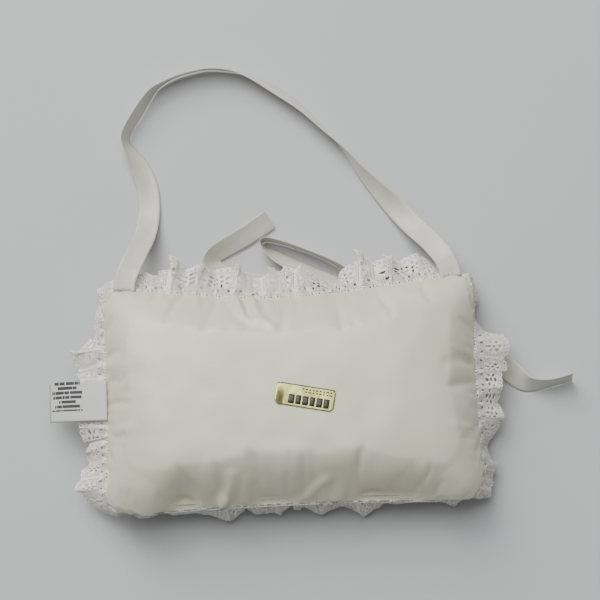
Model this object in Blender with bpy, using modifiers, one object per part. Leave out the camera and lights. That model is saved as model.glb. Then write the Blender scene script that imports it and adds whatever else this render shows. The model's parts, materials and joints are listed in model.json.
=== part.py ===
"""Small satin ring bearer pillow: lace ruffle, hanging ribbon, front bow, content tag and foil label.

It lies on its front, back panel up. +X runs along the long side, +Y points to the side with the
hanging ribbon and +Z is up. The origin is the middle of the flat patch that it rests on.
Units are metres.
"""

import math

import bmesh
import bpy
from mathutils import Vector

# ---- Driving dimensions ---------------------------------------------------------------------
PILLOW_LENGTH = 0.165
PILLOW_DEPTH = 0.100
SEAM_HEIGHT = 0.018
BACK_CROWN = 0.0235
FRONT_CROWN = 0.022
CORNER_POWER = 8.0
CROWN_POWER = 3.0
LONG_SIDE_PULL = 0.0025
SHORT_SIDE_PULL = 0.0012

SATIN = 0.0004
SEAM_ALLOWANCE = 0.004
GAP = 0.0003

LACE_THICKNESS = 0.0006
LACE_WIDTH = 0.015
LACE_HEADING_OUT = 0.0012
LACE_GATHERS = 27
LACE_GATHER_HEIGHT = 0.002
LACE_SLOPE = math.radians(22.0)
LACE_SLOPE_NEAR = math.radians(70.0)
LACE_NEAR_REACH = 1.25

THREAD = 0.0004
CLOSING_LENGTH = 0.050
CLOSING_CENTRE_X = -0.015

RIBBON_WIDTH = 0.0095
RIBBON_THICKNESS = 0.0005
RIBBON_SPACING = 0.0045
RIBBON_END_INSET = 0.011
TACK_LENGTH = 0.006
TACK_REACH = 0.0034
TACK_HEIGHT = 0.0010

KNOT_X = 0.027
KNOT_LENGTH = 0.008
KNOT_DEPTH = 0.0055
KNOT_HEIGHT = 0.007
KNOT_CENTRE_Z = 0.0048
KNOT_OUT = 0.0042
TACK_STITCH_DROP = 0.0039

TAG_LENGTH = 0.024
TAG_WIDTH = 0.0175
TAG_CLOTH = 0.00035
TAG_FOLD_GAP = 0.0005
TAG_CENTRE_Y = 0.001
TAG_SLOPE = math.radians(14.0)

LABEL_LENGTH = 0.0254
LABEL_WIDTH = 0.0095
LABEL_THICKNESS = 0.00025
LABEL_CENTRE = (0.0055, -0.0050)
LABEL_TURN = math.radians(-11.5)

PANEL_CELLS = (20, 14)
STATIONS_PER_GATHER = 4
LACE_ROWS = 3
TAG_STEPS = 6
SEAM_SAMPLES = 720
ROUTE_SAMPLES = 24

# ---- Values that follow from them -----------------------------------------------------------
HALF_LENGTH = PILLOW_LENGTH / 2
HALF_DEPTH = PILLOW_DEPTH / 2
LAYER_RISE = LACE_THICKNESS / 2 + GAP
RING_STATIONS = LACE_GATHERS * STATIONS_PER_GATHER
RIBBON_END_X = HALF_LENGTH - RIBBON_END_INSET
FLAT_TILT = math.pi / 2

# Each route point is X, Y, Z in millimetres and the ribbon's turn about its own length in degrees:
# 0 lies flat and 90 stands on edge.
HANGING_ROUTE = (
    (-71.2, 52.4, 19.4, 0), (-70.7, 55.2, 19.6, 0), (-68.8, 60.0, 19.2, 0), (-65.6, 67.5, 15.3, 0),
    (-62.6, 76.5, 8.2, 0), (-61.6, 85.0, 2.8, 0), (-61.7, 92.1, 1.2, 0), (-62.0, 101.0, 1.0, 5),
    (-63.5, 110.4, 1.6, 15), (-67.0, 118.5, 3.2, 35), (-68.6, 125.5, 4.9, 62), (-66.8, 133.5, 5.3, 78),
    (-60.5, 143.2, 5.4, 84),
    (-47.5, 152.0, 5.4, 86), (-31.8, 155.3, 5.3, 80), (-14.0, 151.7, 5.0, 66), (-2.9, 144.8, 4.7, 58),
    (11.9, 133.2, 4.8, 60), (21.2, 122.8, 4.9, 64), (29.0, 113.4, 5.0, 70), (35.5, 103.8, 5.1, 74),
    (43.5, 94.2, 4.6, 60), (51.5, 84.8, 4.0, 28), (58.2, 76.0, 7.6, 8), (64.5, 67.0, 15.2, 0),
    (68.8, 60.0, 19.2, 0), (71.1, 55.2, 19.6, 0), (71.6, 52.4, 19.4, 0),
)
LOOP_LEFT_ROUTE = (
    (22.2, 52.6, 5.7, 52), (16.0, 55.0, 5.6, 52), (5.0, 60.6, 5.0, 54), (-4.5, 66.8, 4.8, 62),
    (-9.6, 70.6, 5.1, 78), (-10.6, 72.6, 5.2, 86), (-8.2, 73.8, 5.2, 88), (-1.0, 71.8, 5.2, 88),
    (10.0, 67.2, 5.2, 88), (20.0, 62.4, 5.3, 88), (26.2, 58.4, 5.6, 88), (27.4, 55.4, 5.7, 88),
)
LOOP_RIGHT_ROUTE = (
    (31.6, 51.0, 6.2, 88), (40.0, 50.2, 6.2, 88), (50.0, 50.0, 6.2, 88), (57.0, 51.4, 6.2, 88),
    (59.6, 54.4, 6.0, 88), (56.0, 57.0, 5.8, 88), (46.0, 56.6, 5.8, 88), (37.0, 55.0, 6.0, 88),
    (31.6, 53.4, 6.2, 88),
)
TAIL_SHORT_ROUTE = (
    (22.4, 49.8, 1.0, 0), (12.0, 50.8, 0.9, 0), (0.0, 52.2, 0.9, 0), (-13.0, 54.4, 0.9, 0),
    (-25.0, 58.6, 1.4, 4), (-32.4, 65.0, 3.1, 30), (-31.0, 71.0, 3.8, 40), (-22.0, 76.6, 3.3, 32),
    (-6.4, 84.0, 2.9, 28),
)
TAIL_LONG_ROUTE = (
    (31.6, 47.8, 1.0, 0), (42.0, 46.6, 0.9, 0), (56.0, 44.4, 0.9, 0), (69.0, 38.6, 0.9, 0),
    (78.0, 31.0, 1.0, 0), (86.0, 22.2, 1.2, 0), (94.4, 13.0, 1.6, 8), (100.6, 6.4, 2.6, 30),
    (105.8, 3.0, 4.2, 60), (113.6, 2.9, 5.0, 78), (124.3, 5.2, 5.0, 80),
)


# ---- Pillow form ----------------------------------------------------------------------------
def spread(step, cells):
    """Place of a grid line from -1 to 1, closer together towards the seam."""
    return math.sin(math.pi / 2 * (2 * step / cells - 1))


def plan_point(u, v, inset=0.0):
    """Plan position of (u, v), both -1 to 1, on a pillow whose seam line is drawn in by inset."""
    square = max(abs(u), abs(v), 1e-9)
    norm = (abs(u) ** CORNER_POWER + abs(v) ** CORNER_POWER) ** (1 / CORNER_POWER)
    scale = square / max(norm, 1e-9)
    x = (HALF_LENGTH - inset) * u * scale
    y = (HALF_DEPTH - inset) * v * scale
    x -= math.copysign(SHORT_SIDE_PULL * u * u * (1 - v * v), u)
    y -= math.copysign(LONG_SIDE_PULL * v * v * (1 - u * u), v)
    return x, y


def crown(u, v):
    """Height of the stuffed form at (u, v), as a share of its full height."""
    return math.sqrt(max(0.0, (1 - abs(u) ** CROWN_POWER) * (1 - abs(v) ** CROWN_POWER)))


def back_height(u, v, less=0.0):
    """Height of the back panel's outer face, lowered by less."""
    return SEAM_HEIGHT + LAYER_RISE + (BACK_CROWN - less) * crown(u, v)


def front_height(u, v, less=0.0):
    """Height of the front panel's outer face, which the table flattens, raised by less."""
    return max(less, SEAM_HEIGHT - LAYER_RISE - (FRONT_CROWN - less) * crown(u, v))


def seam_line(count, offset=0.0):
    """Points evenly spaced along the seam line, moved outward by offset, each with its normal."""
    fine = []
    for step in range(SEAM_SAMPLES):
        angle = 2 * math.pi * step / SEAM_SAMPLES
        reach = max(abs(math.cos(angle)), abs(math.sin(angle)))
        fine.append(Vector(plan_point(math.cos(angle) / reach, math.sin(angle) / reach)))
    along = [0.0]
    for step in range(SEAM_SAMPLES):
        along.append(along[-1] + (fine[(step + 1) % SEAM_SAMPLES] - fine[step]).length)
    points, near = [], 0
    for station in range(count):
        target = along[-1] * station / count
        while along[near + 1] < target:
            near += 1
        share = (target - along[near]) / (along[near + 1] - along[near])
        points.append(fine[near].lerp(fine[(near + 1) % SEAM_SAMPLES], share))
    stations = []
    for step, point in enumerate(points):
        tangent = points[(step + 1) % count] - points[step - 1]
        normal = Vector((tangent.y, -tangent.x)).normalized()
        stations.append((point + normal * offset, normal))
    return stations


def seam_y(x):
    """Y of the seam line on the ribbon's side at x."""
    stations = [point for point, _ in seam_line(RING_STATIONS * 2) if point.y > 0]
    return min(stations, key=lambda point: abs(point.x - x)).y


# ---- Making objects -------------------------------------------------------------------------
def clear_scene():
    """Remove the objects that the scene starts with."""
    for old in list(bpy.data.objects):
        bpy.data.objects.remove(old)


def make_material(name, colour, roughness, metallic=0.0):
    """Plain material with its colour, roughness and metallic value."""
    material = bpy.data.materials.new(name)
    material.use_nodes = True
    shader = material.node_tree.nodes["Principled BSDF"]
    shader.inputs["Base Color"].default_value = (*colour, 1.0)
    shader.inputs["Roughness"].default_value = roughness
    shader.inputs["Metallic"].default_value = metallic
    material.diffuse_color = (*colour, 1.0)
    return material


def add_mesh(name, form, material, collection, origin=(0.0, 0.0, 0.0)):
    """Object from a bmesh drawn in world coordinates, with its origin moved to origin."""
    bmesh.ops.translate(form, verts=form.verts, vec=-Vector(origin))
    mesh = bpy.data.meshes.new(name)
    form.to_mesh(mesh)
    form.free()
    mesh.shade_smooth()
    mesh.materials.append(material)
    result = bpy.data.objects.new(name, mesh)
    result.location = origin
    collection.objects.link(result)
    return result


def thicken(result, thickness, offset=-1.0):
    """Give an open sheet its thickness, inwards unless offset is 0."""
    solidify = result.modifiers.new("Thickness", "SOLIDIFY")
    solidify.thickness = thickness
    solidify.offset = offset
    solidify.use_even_offset = True


def smooth_route(route, spacing):
    """Evenly spaced points, in metres, on a smooth curve through a route's points, with its turn."""
    points = [Vector(point) for point in route]
    points = [2 * points[0] - points[1], *points, 2 * points[-1] - points[-2]]
    fine = []
    for before, start, end, after in zip(points, points[1:], points[2:], points[3:]):
        for step in range(ROUTE_SAMPLES):
            t = step / ROUTE_SAMPLES
            fine.append(
                start
                + 0.5 * t * ((end - before) + t * (2 * before - 5 * start + 4 * end - after)
                             + t * t * (3 * start - before - 3 * end + after))
            )
    fine.append(points[-2])
    along = [0.0]
    for start, end in zip(fine, fine[1:]):
        along.append(along[-1] + (end - start).to_3d().length / 1000)
    count = max(4, round(along[-1] / spacing))
    found, near = [], 0
    for step in range(count + 1):
        target = along[-1] * step / count
        while near < len(fine) - 2 and along[near + 1] < target:
            near += 1
        share = (target - along[near]) / (along[near + 1] - along[near])
        point = fine[near].lerp(fine[near + 1], min(1.0, share))
        found.append((point.to_3d() / 1000, math.radians(point.w)))
    return found


def add_ribbon(name, route, material, collection, spacing=RIBBON_SPACING, origin=(0.0, 0.0, 0.0)):
    """Flat ribbon along a route: a curve with a thin wide section, turned point by point."""
    curve = bpy.data.curves.new(name, "CURVE")
    curve.dimensions = "3D"
    curve.twist_mode = "Z_UP"
    curve.extrude = (RIBBON_WIDTH - RIBBON_THICKNESS) / 2
    curve.bevel_depth = RIBBON_THICKNESS / 2
    curve.bevel_resolution = 0
    curve.use_fill_caps = True
    stations = smooth_route(route, spacing)
    spline = curve.splines.new("POLY")
    spline.points.add(len(stations) - 1)
    for place, (point, turn) in zip(spline.points, stations):
        place.co = (*(point - Vector(origin)), 1.0)
        place.tilt = FLAT_TILT + turn
    curve.materials.append(material)
    result = bpy.data.objects.new(name, curve)
    result.location = origin
    collection.objects.link(result)
    return result


def add_thread(name, points, material, collection, cyclic=False):
    """Round thread through points, in metres."""
    curve = bpy.data.curves.new(name, "CURVE")
    curve.dimensions = "3D"
    curve.bevel_depth = THREAD / 2
    curve.bevel_resolution = 1
    curve.use_fill_caps = not cyclic
    spline = curve.splines.new("POLY")
    spline.points.add(len(points) - 1)
    for place, point in zip(spline.points, points):
        place.co = (*point, 1.0)
    spline.use_cyclic_u = cyclic
    curve.materials.append(material)
    result = bpy.data.objects.new(name, curve)
    collection.objects.link(result)
    return result


# ---- Pillow ---------------------------------------------------------------------------------
def dome(height, inset=0.0):
    """Open domed sheet over the seam line, with its rim on the seam line drawn in by inset."""
    form = bmesh.new()
    across, deep = PANEL_CELLS
    bmesh.ops.create_grid(form, x_segments=across, y_segments=deep, size=1.0)
    for vert in form.verts:
        u = spread(round((vert.co.x + 1) / 2 * across), across)
        v = spread(round((vert.co.y + 1) / 2 * deep), deep)
        x, y = plan_point(u, v, inset)
        vert.co = (x, y, height(u, v))
    return form


def add_panel(name, height, faces_up, material, collection):
    """Satin panel: a dome whose seam allowance is turned in along the seam."""
    form = dome(height)
    rim = [edge for edge in form.edges if edge.is_boundary]
    turned = bmesh.ops.extrude_edge_only(form, edges=rim)["geom"]
    for vert in (item for item in turned if isinstance(item, bmesh.types.BMVert)):
        vert.co.x *= 1 - SEAM_ALLOWANCE / HALF_LENGTH
        vert.co.y *= 1 - SEAM_ALLOWANCE / HALF_DEPTH
    bmesh.ops.recalc_face_normals(form, faces=form.faces)
    top = max(form.faces, key=lambda face: abs(face.calc_center_median().z - SEAM_HEIGHT))
    if (top.normal.z > 0) != faces_up:
        bmesh.ops.reverse_faces(form, faces=form.faces)
    thicken(add_mesh(name, form, material, collection), SATIN)


def add_filling(material, collection):
    """Fibre filling, which fills both panels up to the seam allowance."""
    inset = SEAM_ALLOWANCE + 2 * GAP
    less = SATIN + 2 * GAP
    form = dome(lambda u, v: back_height(u, v, less), inset)
    lower = dome(lambda u, v: front_height(u, v, less), inset)
    bmesh.ops.reverse_faces(lower, faces=lower.faces)
    spare = bpy.data.meshes.new("lower_half")
    lower.to_mesh(spare)
    lower.free()
    form.from_mesh(spare)
    bpy.data.meshes.remove(spare)
    rim = [edge for edge in form.edges if edge.is_boundary]
    bmesh.ops.bridge_loops(form, edges=rim)
    bmesh.ops.recalc_face_normals(form, faces=form.faces)
    add_mesh("fibre_filling", form, material, collection)


def ruffle_slope(normal):
    """Fall of the lace below level: gentle on three sides, steep where the near side hangs down."""
    near = min(1.0, max(0.0, -normal.y * LACE_NEAR_REACH))
    near = near * near * (3 - 2 * near)
    return LACE_SLOPE + (LACE_SLOPE_NEAR - LACE_SLOPE) * near


def lace_height(reach, slope, station):
    """Height of the lace's middle surface at reach outside the seam line."""
    out = max(0.0, reach - LACE_HEADING_OUT) / LACE_WIDTH
    wave = math.sin(2 * math.pi * station / STATIONS_PER_GATHER)
    return SEAM_HEIGHT - LACE_WIDTH * out * math.sin(slope) + LACE_GATHER_HEIGHT * out * wave


def add_lace(material, collection):
    """Gathered lace: its heading lies in the seam and its free edge waves."""
    stations = seam_line(RING_STATIONS)
    form = bmesh.new()
    bmesh.ops.create_circle(form, segments=RING_STATIONS, radius=1.0)
    rings = [list(form.verts)]
    for _ in range(LACE_ROWS + 1):
        edges = [edge for edge in form.edges if all(vert in rings[-1] for vert in edge.verts)]
        grown = bmesh.ops.extrude_edge_only(form, edges=edges)["geom"]
        new = [item for item in grown if isinstance(item, bmesh.types.BMVert)]
        rings.append(new)
    turn = {}
    for ring in rings:
        for vert in ring:
            angle = math.atan2(vert.co.y, vert.co.x) % (2 * math.pi)
            turn[vert] = round(angle / (2 * math.pi) * RING_STATIONS) % RING_STATIONS
    free = LACE_WIDTH - LACE_HEADING_OUT
    reaches = [-SEAM_ALLOWANCE]
    reaches += [LACE_HEADING_OUT + free * row / LACE_ROWS for row in range(LACE_ROWS + 1)]
    for ring, reach in zip(rings, reaches):
        for vert in ring:
            point, normal = stations[turn[vert]]
            slope = ruffle_slope(normal)
            level = min(reach, LACE_HEADING_OUT + max(0.0, reach - LACE_HEADING_OUT) * math.cos(slope))
            vert.co = (*(point + normal * level), lace_height(reach, slope, turn[vert]))
    bmesh.ops.recalc_face_normals(form, faces=form.faces)
    thicken(add_mesh("lace_ruffle", form, material, collection), LACE_THICKNESS, 0.0)


def add_threads(material, collection):
    """Seam stitches inside, gathering thread under the lace and the hand-sewn closing outside."""
    inside = -SEAM_ALLOWANCE / 2
    above = SEAM_HEIGHT + LAYER_RISE + SATIN + GAP + THREAD / 2
    loop = [(*point, above) for point, _ in seam_line(RING_STATIONS, inside)]
    add_thread("seam_thread", loop, material, collection, cyclic=True)
    below = SEAM_HEIGHT - LACE_THICKNESS / 2 - GAP - THREAD / 2
    outside = GAP + THREAD / 2
    loop = [(*point, below) for point, _ in seam_line(RING_STATIONS, outside)]
    add_thread("lace_gathering_thread", loop, material, collection, cyclic=True)
    top = SEAM_HEIGHT + LACE_THICKNESS / 2 + GAP + THREAD / 2
    run = []
    for point, _ in seam_line(RING_STATIONS, outside):
        if point.y < 0 and abs(point.x - CLOSING_CENTRE_X) < CLOSING_LENGTH / 2:
            run.append((*point, top + GAP * (len(run) % 2)))
    add_thread("closing_stitches", run, material, collection)


# ---- Ribbons --------------------------------------------------------------------------------
def tack_edge():
    """Y of the outer edge of the tacks that hold the hanging ribbon's ends."""
    return seam_y(RIBBON_END_X - TACK_LENGTH / 2) + GAP + TACK_REACH


def hanging_hinge():
    """Middle of the line on which the hanging ribbon swings, which clears its tacks when it folds."""
    height = SEAM_HEIGHT + LAYER_RISE + GAP + TACK_HEIGHT / 2
    return (0.0, tack_edge() + GAP + RIBBON_THICKNESS, height)


def add_hanging_ribbon(ribbon, thread, collection):
    """Hanging ribbon and the two bar tacks that hold its ends."""
    hinge = hanging_hinge()
    add_ribbon("hanging_ribbon", HANGING_ROUTE, ribbon, collection, origin=hinge)
    for side, turn in (("left", -1), ("right", 1)):
        middle = (turn * RIBBON_END_X, tack_edge() - TACK_REACH / 2, hinge[2])
        form = bmesh.new()
        bmesh.ops.create_cube(form, size=1.0)
        bmesh.ops.scale(form, vec=(TACK_LENGTH, TACK_REACH, TACK_HEIGHT), verts=form.verts)
        bmesh.ops.translate(form, vec=middle, verts=form.verts)
        tack = add_mesh(f"ribbon_tack_{side}", form, thread, collection)
        bevel = tack.modifiers.new("Edges", "BEVEL")
        bevel.width = TACK_HEIGHT / 4
        bevel.segments = 2


def add_bow(ribbon, thread, collection):
    """Bow sewn to the front by the seam: knot, two loops, two tails and its tacking stitch."""
    out = seam_y(KNOT_X) + KNOT_OUT
    form = bmesh.new()
    bmesh.ops.create_cube(form, size=1.0)
    bmesh.ops.subdivide_edges(form, edges=form.edges, cuts=1, use_grid_fill=True)
    bmesh.ops.scale(form, vec=(KNOT_LENGTH, KNOT_DEPTH, KNOT_HEIGHT), verts=form.verts)
    bmesh.ops.translate(form, vec=(KNOT_X, out, KNOT_CENTRE_Z), verts=form.verts)
    knot = add_mesh("bow_knot", form, ribbon, collection)
    bevel = knot.modifiers.new("Edges", "BEVEL")
    bevel.width = KNOT_DEPTH / 4
    bevel.segments = 3
    for name, route in (
        ("bow_loop_left", LOOP_LEFT_ROUTE),
        ("bow_loop_right", LOOP_RIGHT_ROUTE),
        ("bow_tail_short", TAIL_SHORT_ROUTE),
        ("bow_tail_long", TAIL_LONG_ROUTE),
    ):
        spacing = RIBBON_SPACING if "tail" in name else RIBBON_SPACING / 2
        add_ribbon(name, route, ribbon, collection, spacing)
    top = KNOT_CENTRE_Z + KNOT_HEIGHT / 2 + GAP + THREAD / 2
    inner = out - KNOT_DEPTH / 2
    stitch = [
        (KNOT_X, inner + KNOT_DEPTH / 3, top),
        (KNOT_X, inner, top + THREAD),
        (KNOT_X, seam_y(KNOT_X), SEAM_HEIGHT - LAYER_RISE - TACK_STITCH_DROP),
    ]
    add_thread("bow_tack_thread", stitch, thread, collection)


# ---- Tag and label --------------------------------------------------------------------------
def tag_hinge():
    """Middle of the line on which the content tag swings, by the seam on the left side."""
    reach = HALF_LENGTH - SHORT_SIDE_PULL + 3 * GAP
    return (-reach, TAG_CENTRE_Y, SEAM_HEIGHT + LAYER_RISE + TAG_CLOTH + TAG_FOLD_GAP)


def add_tag(material, collection):
    """Content tag: a cloth strip folded in two, with both ends caught in the seam."""
    hinge = Vector(tag_hinge())
    apart = (TAG_CLOTH + TAG_FOLD_GAP) / 2
    form = bmesh.new()
    bmesh.ops.create_grid(form, x_segments=3 * TAG_STEPS, y_segments=3, size=0.5)
    straight = TAG_LENGTH - apart
    for vert in form.verts:
        across = vert.co.y * TAG_WIDTH
        step = round((vert.co.x + 0.5) * 3 * TAG_STEPS)
        if step <= TAG_STEPS or step >= 2 * TAG_STEPS:
            upper = step <= TAG_STEPS
            share = (step if upper else 3 * TAG_STEPS - step) / TAG_STEPS
            out, rise = straight * share, apart if upper else -apart
        else:
            angle = math.pi * (step - TAG_STEPS) / TAG_STEPS
            out, rise = straight + apart * math.sin(angle), apart * math.cos(angle)
        down = math.sin(TAG_SLOPE)
        level = math.cos(TAG_SLOPE)
        vert.co = hinge + Vector((-out * level - rise * down, across, rise * level - out * down))
    bmesh.ops.recalc_face_normals(form, faces=form.faces)
    tag = add_mesh("content_tag", form, material, collection, tuple(hinge))
    thicken(tag, TAG_CLOTH, 0.0)


def add_label(material, collection):
    """Foil label stuck on the back panel, which follows its crown."""
    form = bmesh.new()
    bmesh.ops.create_grid(form, x_segments=6, y_segments=2, size=0.5)
    level = SEAM_HEIGHT + LAYER_RISE + BACK_CROWN + GAP + LABEL_THICKNESS / 2
    for vert in form.verts:
        along, across = vert.co.x * LABEL_LENGTH, vert.co.y * LABEL_WIDTH
        x = LABEL_CENTRE[0] + along * math.cos(LABEL_TURN) - across * math.sin(LABEL_TURN)
        y = LABEL_CENTRE[1] + along * math.sin(LABEL_TURN) + across * math.cos(LABEL_TURN)
        fall = BACK_CROWN * (1 - crown(x / HALF_LENGTH, y / HALF_DEPTH))
        vert.co = (x, y, level - fall)
    thicken(add_mesh("foil_label", form, material, collection), LABEL_THICKNESS, 0.0)


def main():
    """Build every piece of the pillow."""
    clear_scene()
    pillow = bpy.data.collections.new("ring_bearer_pillow")
    bpy.context.scene.collection.children.link(pillow)
    satin_back = make_material("back_satin", (0.72, 0.71, 0.66), 0.42)
    satin_front = make_material("front_satin", (0.74, 0.73, 0.68), 0.40)
    fibre = make_material("polyester_fibre", (0.85, 0.85, 0.84), 0.95)
    lace = make_material("lace", (0.78, 0.77, 0.72), 0.80)
    ribbon = make_material("satin_ribbon", (0.76, 0.75, 0.70), 0.35)
    thread = make_material("sewing_thread", (0.80, 0.79, 0.74), 0.60)
    tag_cloth = make_material("tag_cloth", (0.80, 0.80, 0.79), 0.75)
    foil = make_material("gold_foil", (0.72, 0.66, 0.32), 0.28, 1.0)
    add_panel("back_panel", back_height, True, satin_back, pillow)
    add_panel("front_panel", front_height, False, satin_front, pillow)
    add_filling(fibre, pillow)
    add_lace(lace, pillow)
    add_threads(thread, pillow)
    add_hanging_ribbon(ribbon, thread, pillow)
    add_bow(ribbon, thread, pillow)
    add_tag(tag_cloth, pillow)
    add_label(foil, pillow)


main()
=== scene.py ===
"""Looks of a small satin ring bearer pillow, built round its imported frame.

The pillow lies on its front. Its satin cover is inflated by a short cloth simulation, its lace is
a flat strip with real holes that is gathered round the seam, and its ribbons are flat strips laid
along the frame's own routes. Sizes are in metres.
"""

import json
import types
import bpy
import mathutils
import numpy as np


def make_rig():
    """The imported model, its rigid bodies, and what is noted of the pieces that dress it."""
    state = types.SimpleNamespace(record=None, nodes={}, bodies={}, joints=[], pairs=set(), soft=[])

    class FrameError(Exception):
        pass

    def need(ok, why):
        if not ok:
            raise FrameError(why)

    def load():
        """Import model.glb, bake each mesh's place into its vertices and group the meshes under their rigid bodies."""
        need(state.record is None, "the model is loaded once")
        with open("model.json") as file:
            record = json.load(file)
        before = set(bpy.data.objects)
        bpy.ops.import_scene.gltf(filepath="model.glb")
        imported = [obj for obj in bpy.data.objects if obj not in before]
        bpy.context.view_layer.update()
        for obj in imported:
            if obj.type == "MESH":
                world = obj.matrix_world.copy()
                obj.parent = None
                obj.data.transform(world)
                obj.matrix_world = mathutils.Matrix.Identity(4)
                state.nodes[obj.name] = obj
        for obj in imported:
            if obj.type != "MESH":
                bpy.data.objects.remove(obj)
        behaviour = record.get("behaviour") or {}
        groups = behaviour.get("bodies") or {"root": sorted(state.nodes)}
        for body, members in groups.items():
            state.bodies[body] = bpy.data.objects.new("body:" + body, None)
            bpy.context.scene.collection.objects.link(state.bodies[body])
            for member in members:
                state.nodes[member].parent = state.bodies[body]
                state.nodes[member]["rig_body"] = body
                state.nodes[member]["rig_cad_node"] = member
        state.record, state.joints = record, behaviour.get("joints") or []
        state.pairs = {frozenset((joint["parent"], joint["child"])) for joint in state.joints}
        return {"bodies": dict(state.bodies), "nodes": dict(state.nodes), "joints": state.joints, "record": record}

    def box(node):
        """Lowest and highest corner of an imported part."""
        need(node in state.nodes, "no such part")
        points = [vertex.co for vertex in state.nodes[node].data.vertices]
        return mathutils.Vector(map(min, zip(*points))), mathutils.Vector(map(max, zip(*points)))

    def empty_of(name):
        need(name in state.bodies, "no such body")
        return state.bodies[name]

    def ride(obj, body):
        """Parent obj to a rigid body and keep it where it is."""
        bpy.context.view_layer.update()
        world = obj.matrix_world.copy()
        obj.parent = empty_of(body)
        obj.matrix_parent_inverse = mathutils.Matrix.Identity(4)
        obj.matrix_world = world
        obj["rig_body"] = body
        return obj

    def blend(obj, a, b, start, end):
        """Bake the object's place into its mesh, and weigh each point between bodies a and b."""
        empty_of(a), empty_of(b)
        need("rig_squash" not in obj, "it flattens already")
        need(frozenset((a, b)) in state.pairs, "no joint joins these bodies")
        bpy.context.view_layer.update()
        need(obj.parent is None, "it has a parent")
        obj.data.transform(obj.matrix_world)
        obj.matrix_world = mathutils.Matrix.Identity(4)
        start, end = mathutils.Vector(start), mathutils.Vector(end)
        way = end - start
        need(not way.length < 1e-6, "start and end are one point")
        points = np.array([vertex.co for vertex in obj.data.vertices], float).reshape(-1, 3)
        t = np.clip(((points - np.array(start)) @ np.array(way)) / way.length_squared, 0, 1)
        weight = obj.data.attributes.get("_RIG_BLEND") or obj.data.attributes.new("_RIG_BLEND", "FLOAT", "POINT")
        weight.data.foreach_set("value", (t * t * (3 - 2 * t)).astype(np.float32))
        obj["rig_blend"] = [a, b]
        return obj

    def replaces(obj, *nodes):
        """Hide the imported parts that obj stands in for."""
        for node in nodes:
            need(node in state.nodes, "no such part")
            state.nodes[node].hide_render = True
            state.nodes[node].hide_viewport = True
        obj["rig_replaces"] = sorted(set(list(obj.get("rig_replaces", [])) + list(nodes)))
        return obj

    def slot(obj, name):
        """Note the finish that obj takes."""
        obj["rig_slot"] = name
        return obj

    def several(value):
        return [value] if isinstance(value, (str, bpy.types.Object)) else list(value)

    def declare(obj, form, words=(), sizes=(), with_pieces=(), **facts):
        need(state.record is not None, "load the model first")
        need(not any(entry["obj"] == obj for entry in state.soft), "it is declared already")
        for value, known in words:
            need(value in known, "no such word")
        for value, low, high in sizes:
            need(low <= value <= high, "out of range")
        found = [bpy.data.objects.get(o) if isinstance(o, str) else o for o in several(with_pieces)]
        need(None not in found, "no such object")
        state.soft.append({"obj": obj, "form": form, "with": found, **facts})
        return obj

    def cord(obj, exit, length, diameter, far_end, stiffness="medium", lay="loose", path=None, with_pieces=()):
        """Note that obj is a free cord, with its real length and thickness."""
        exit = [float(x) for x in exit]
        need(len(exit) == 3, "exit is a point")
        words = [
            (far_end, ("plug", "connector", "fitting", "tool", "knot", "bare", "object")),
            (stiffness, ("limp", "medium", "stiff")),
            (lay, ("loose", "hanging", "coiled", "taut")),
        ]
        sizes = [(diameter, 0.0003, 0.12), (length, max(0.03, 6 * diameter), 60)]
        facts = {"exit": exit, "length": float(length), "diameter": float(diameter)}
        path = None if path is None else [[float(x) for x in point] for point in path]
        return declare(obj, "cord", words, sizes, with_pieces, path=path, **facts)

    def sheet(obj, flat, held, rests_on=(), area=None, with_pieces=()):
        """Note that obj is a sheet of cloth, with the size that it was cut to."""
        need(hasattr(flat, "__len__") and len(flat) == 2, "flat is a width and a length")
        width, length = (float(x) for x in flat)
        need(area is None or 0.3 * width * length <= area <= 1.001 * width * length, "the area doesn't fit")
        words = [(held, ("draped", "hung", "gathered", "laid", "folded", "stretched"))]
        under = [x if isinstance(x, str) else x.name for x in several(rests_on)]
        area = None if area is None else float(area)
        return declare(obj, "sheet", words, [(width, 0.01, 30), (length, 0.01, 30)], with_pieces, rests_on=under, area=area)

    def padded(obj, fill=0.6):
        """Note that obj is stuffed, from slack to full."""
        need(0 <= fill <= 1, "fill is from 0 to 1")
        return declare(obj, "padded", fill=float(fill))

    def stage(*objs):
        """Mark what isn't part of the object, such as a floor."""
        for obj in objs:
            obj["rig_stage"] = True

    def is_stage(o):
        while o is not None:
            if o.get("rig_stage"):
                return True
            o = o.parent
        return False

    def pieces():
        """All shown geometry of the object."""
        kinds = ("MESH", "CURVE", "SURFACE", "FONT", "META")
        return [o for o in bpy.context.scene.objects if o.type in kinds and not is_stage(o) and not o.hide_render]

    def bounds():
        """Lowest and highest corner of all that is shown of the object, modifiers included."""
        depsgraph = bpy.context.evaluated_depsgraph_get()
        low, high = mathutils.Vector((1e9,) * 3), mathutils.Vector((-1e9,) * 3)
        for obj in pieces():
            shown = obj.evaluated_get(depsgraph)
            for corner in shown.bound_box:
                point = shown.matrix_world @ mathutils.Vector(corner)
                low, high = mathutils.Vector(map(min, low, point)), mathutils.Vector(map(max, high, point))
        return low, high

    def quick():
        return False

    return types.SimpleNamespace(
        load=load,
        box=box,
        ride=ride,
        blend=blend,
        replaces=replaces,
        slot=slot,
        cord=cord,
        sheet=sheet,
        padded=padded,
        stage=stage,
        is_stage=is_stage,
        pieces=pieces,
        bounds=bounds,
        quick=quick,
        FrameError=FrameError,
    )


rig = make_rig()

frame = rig.load()
CAD_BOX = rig.bounds()

import json
import logging
import math
from dataclasses import dataclass
from enum import Enum
from typing import Callable, Iterable, Sequence

import bmesh
import bpy
import numpy as np
from mathutils import Matrix, Vector, noise
from mathutils.bvhtree import BVHTree

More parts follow.
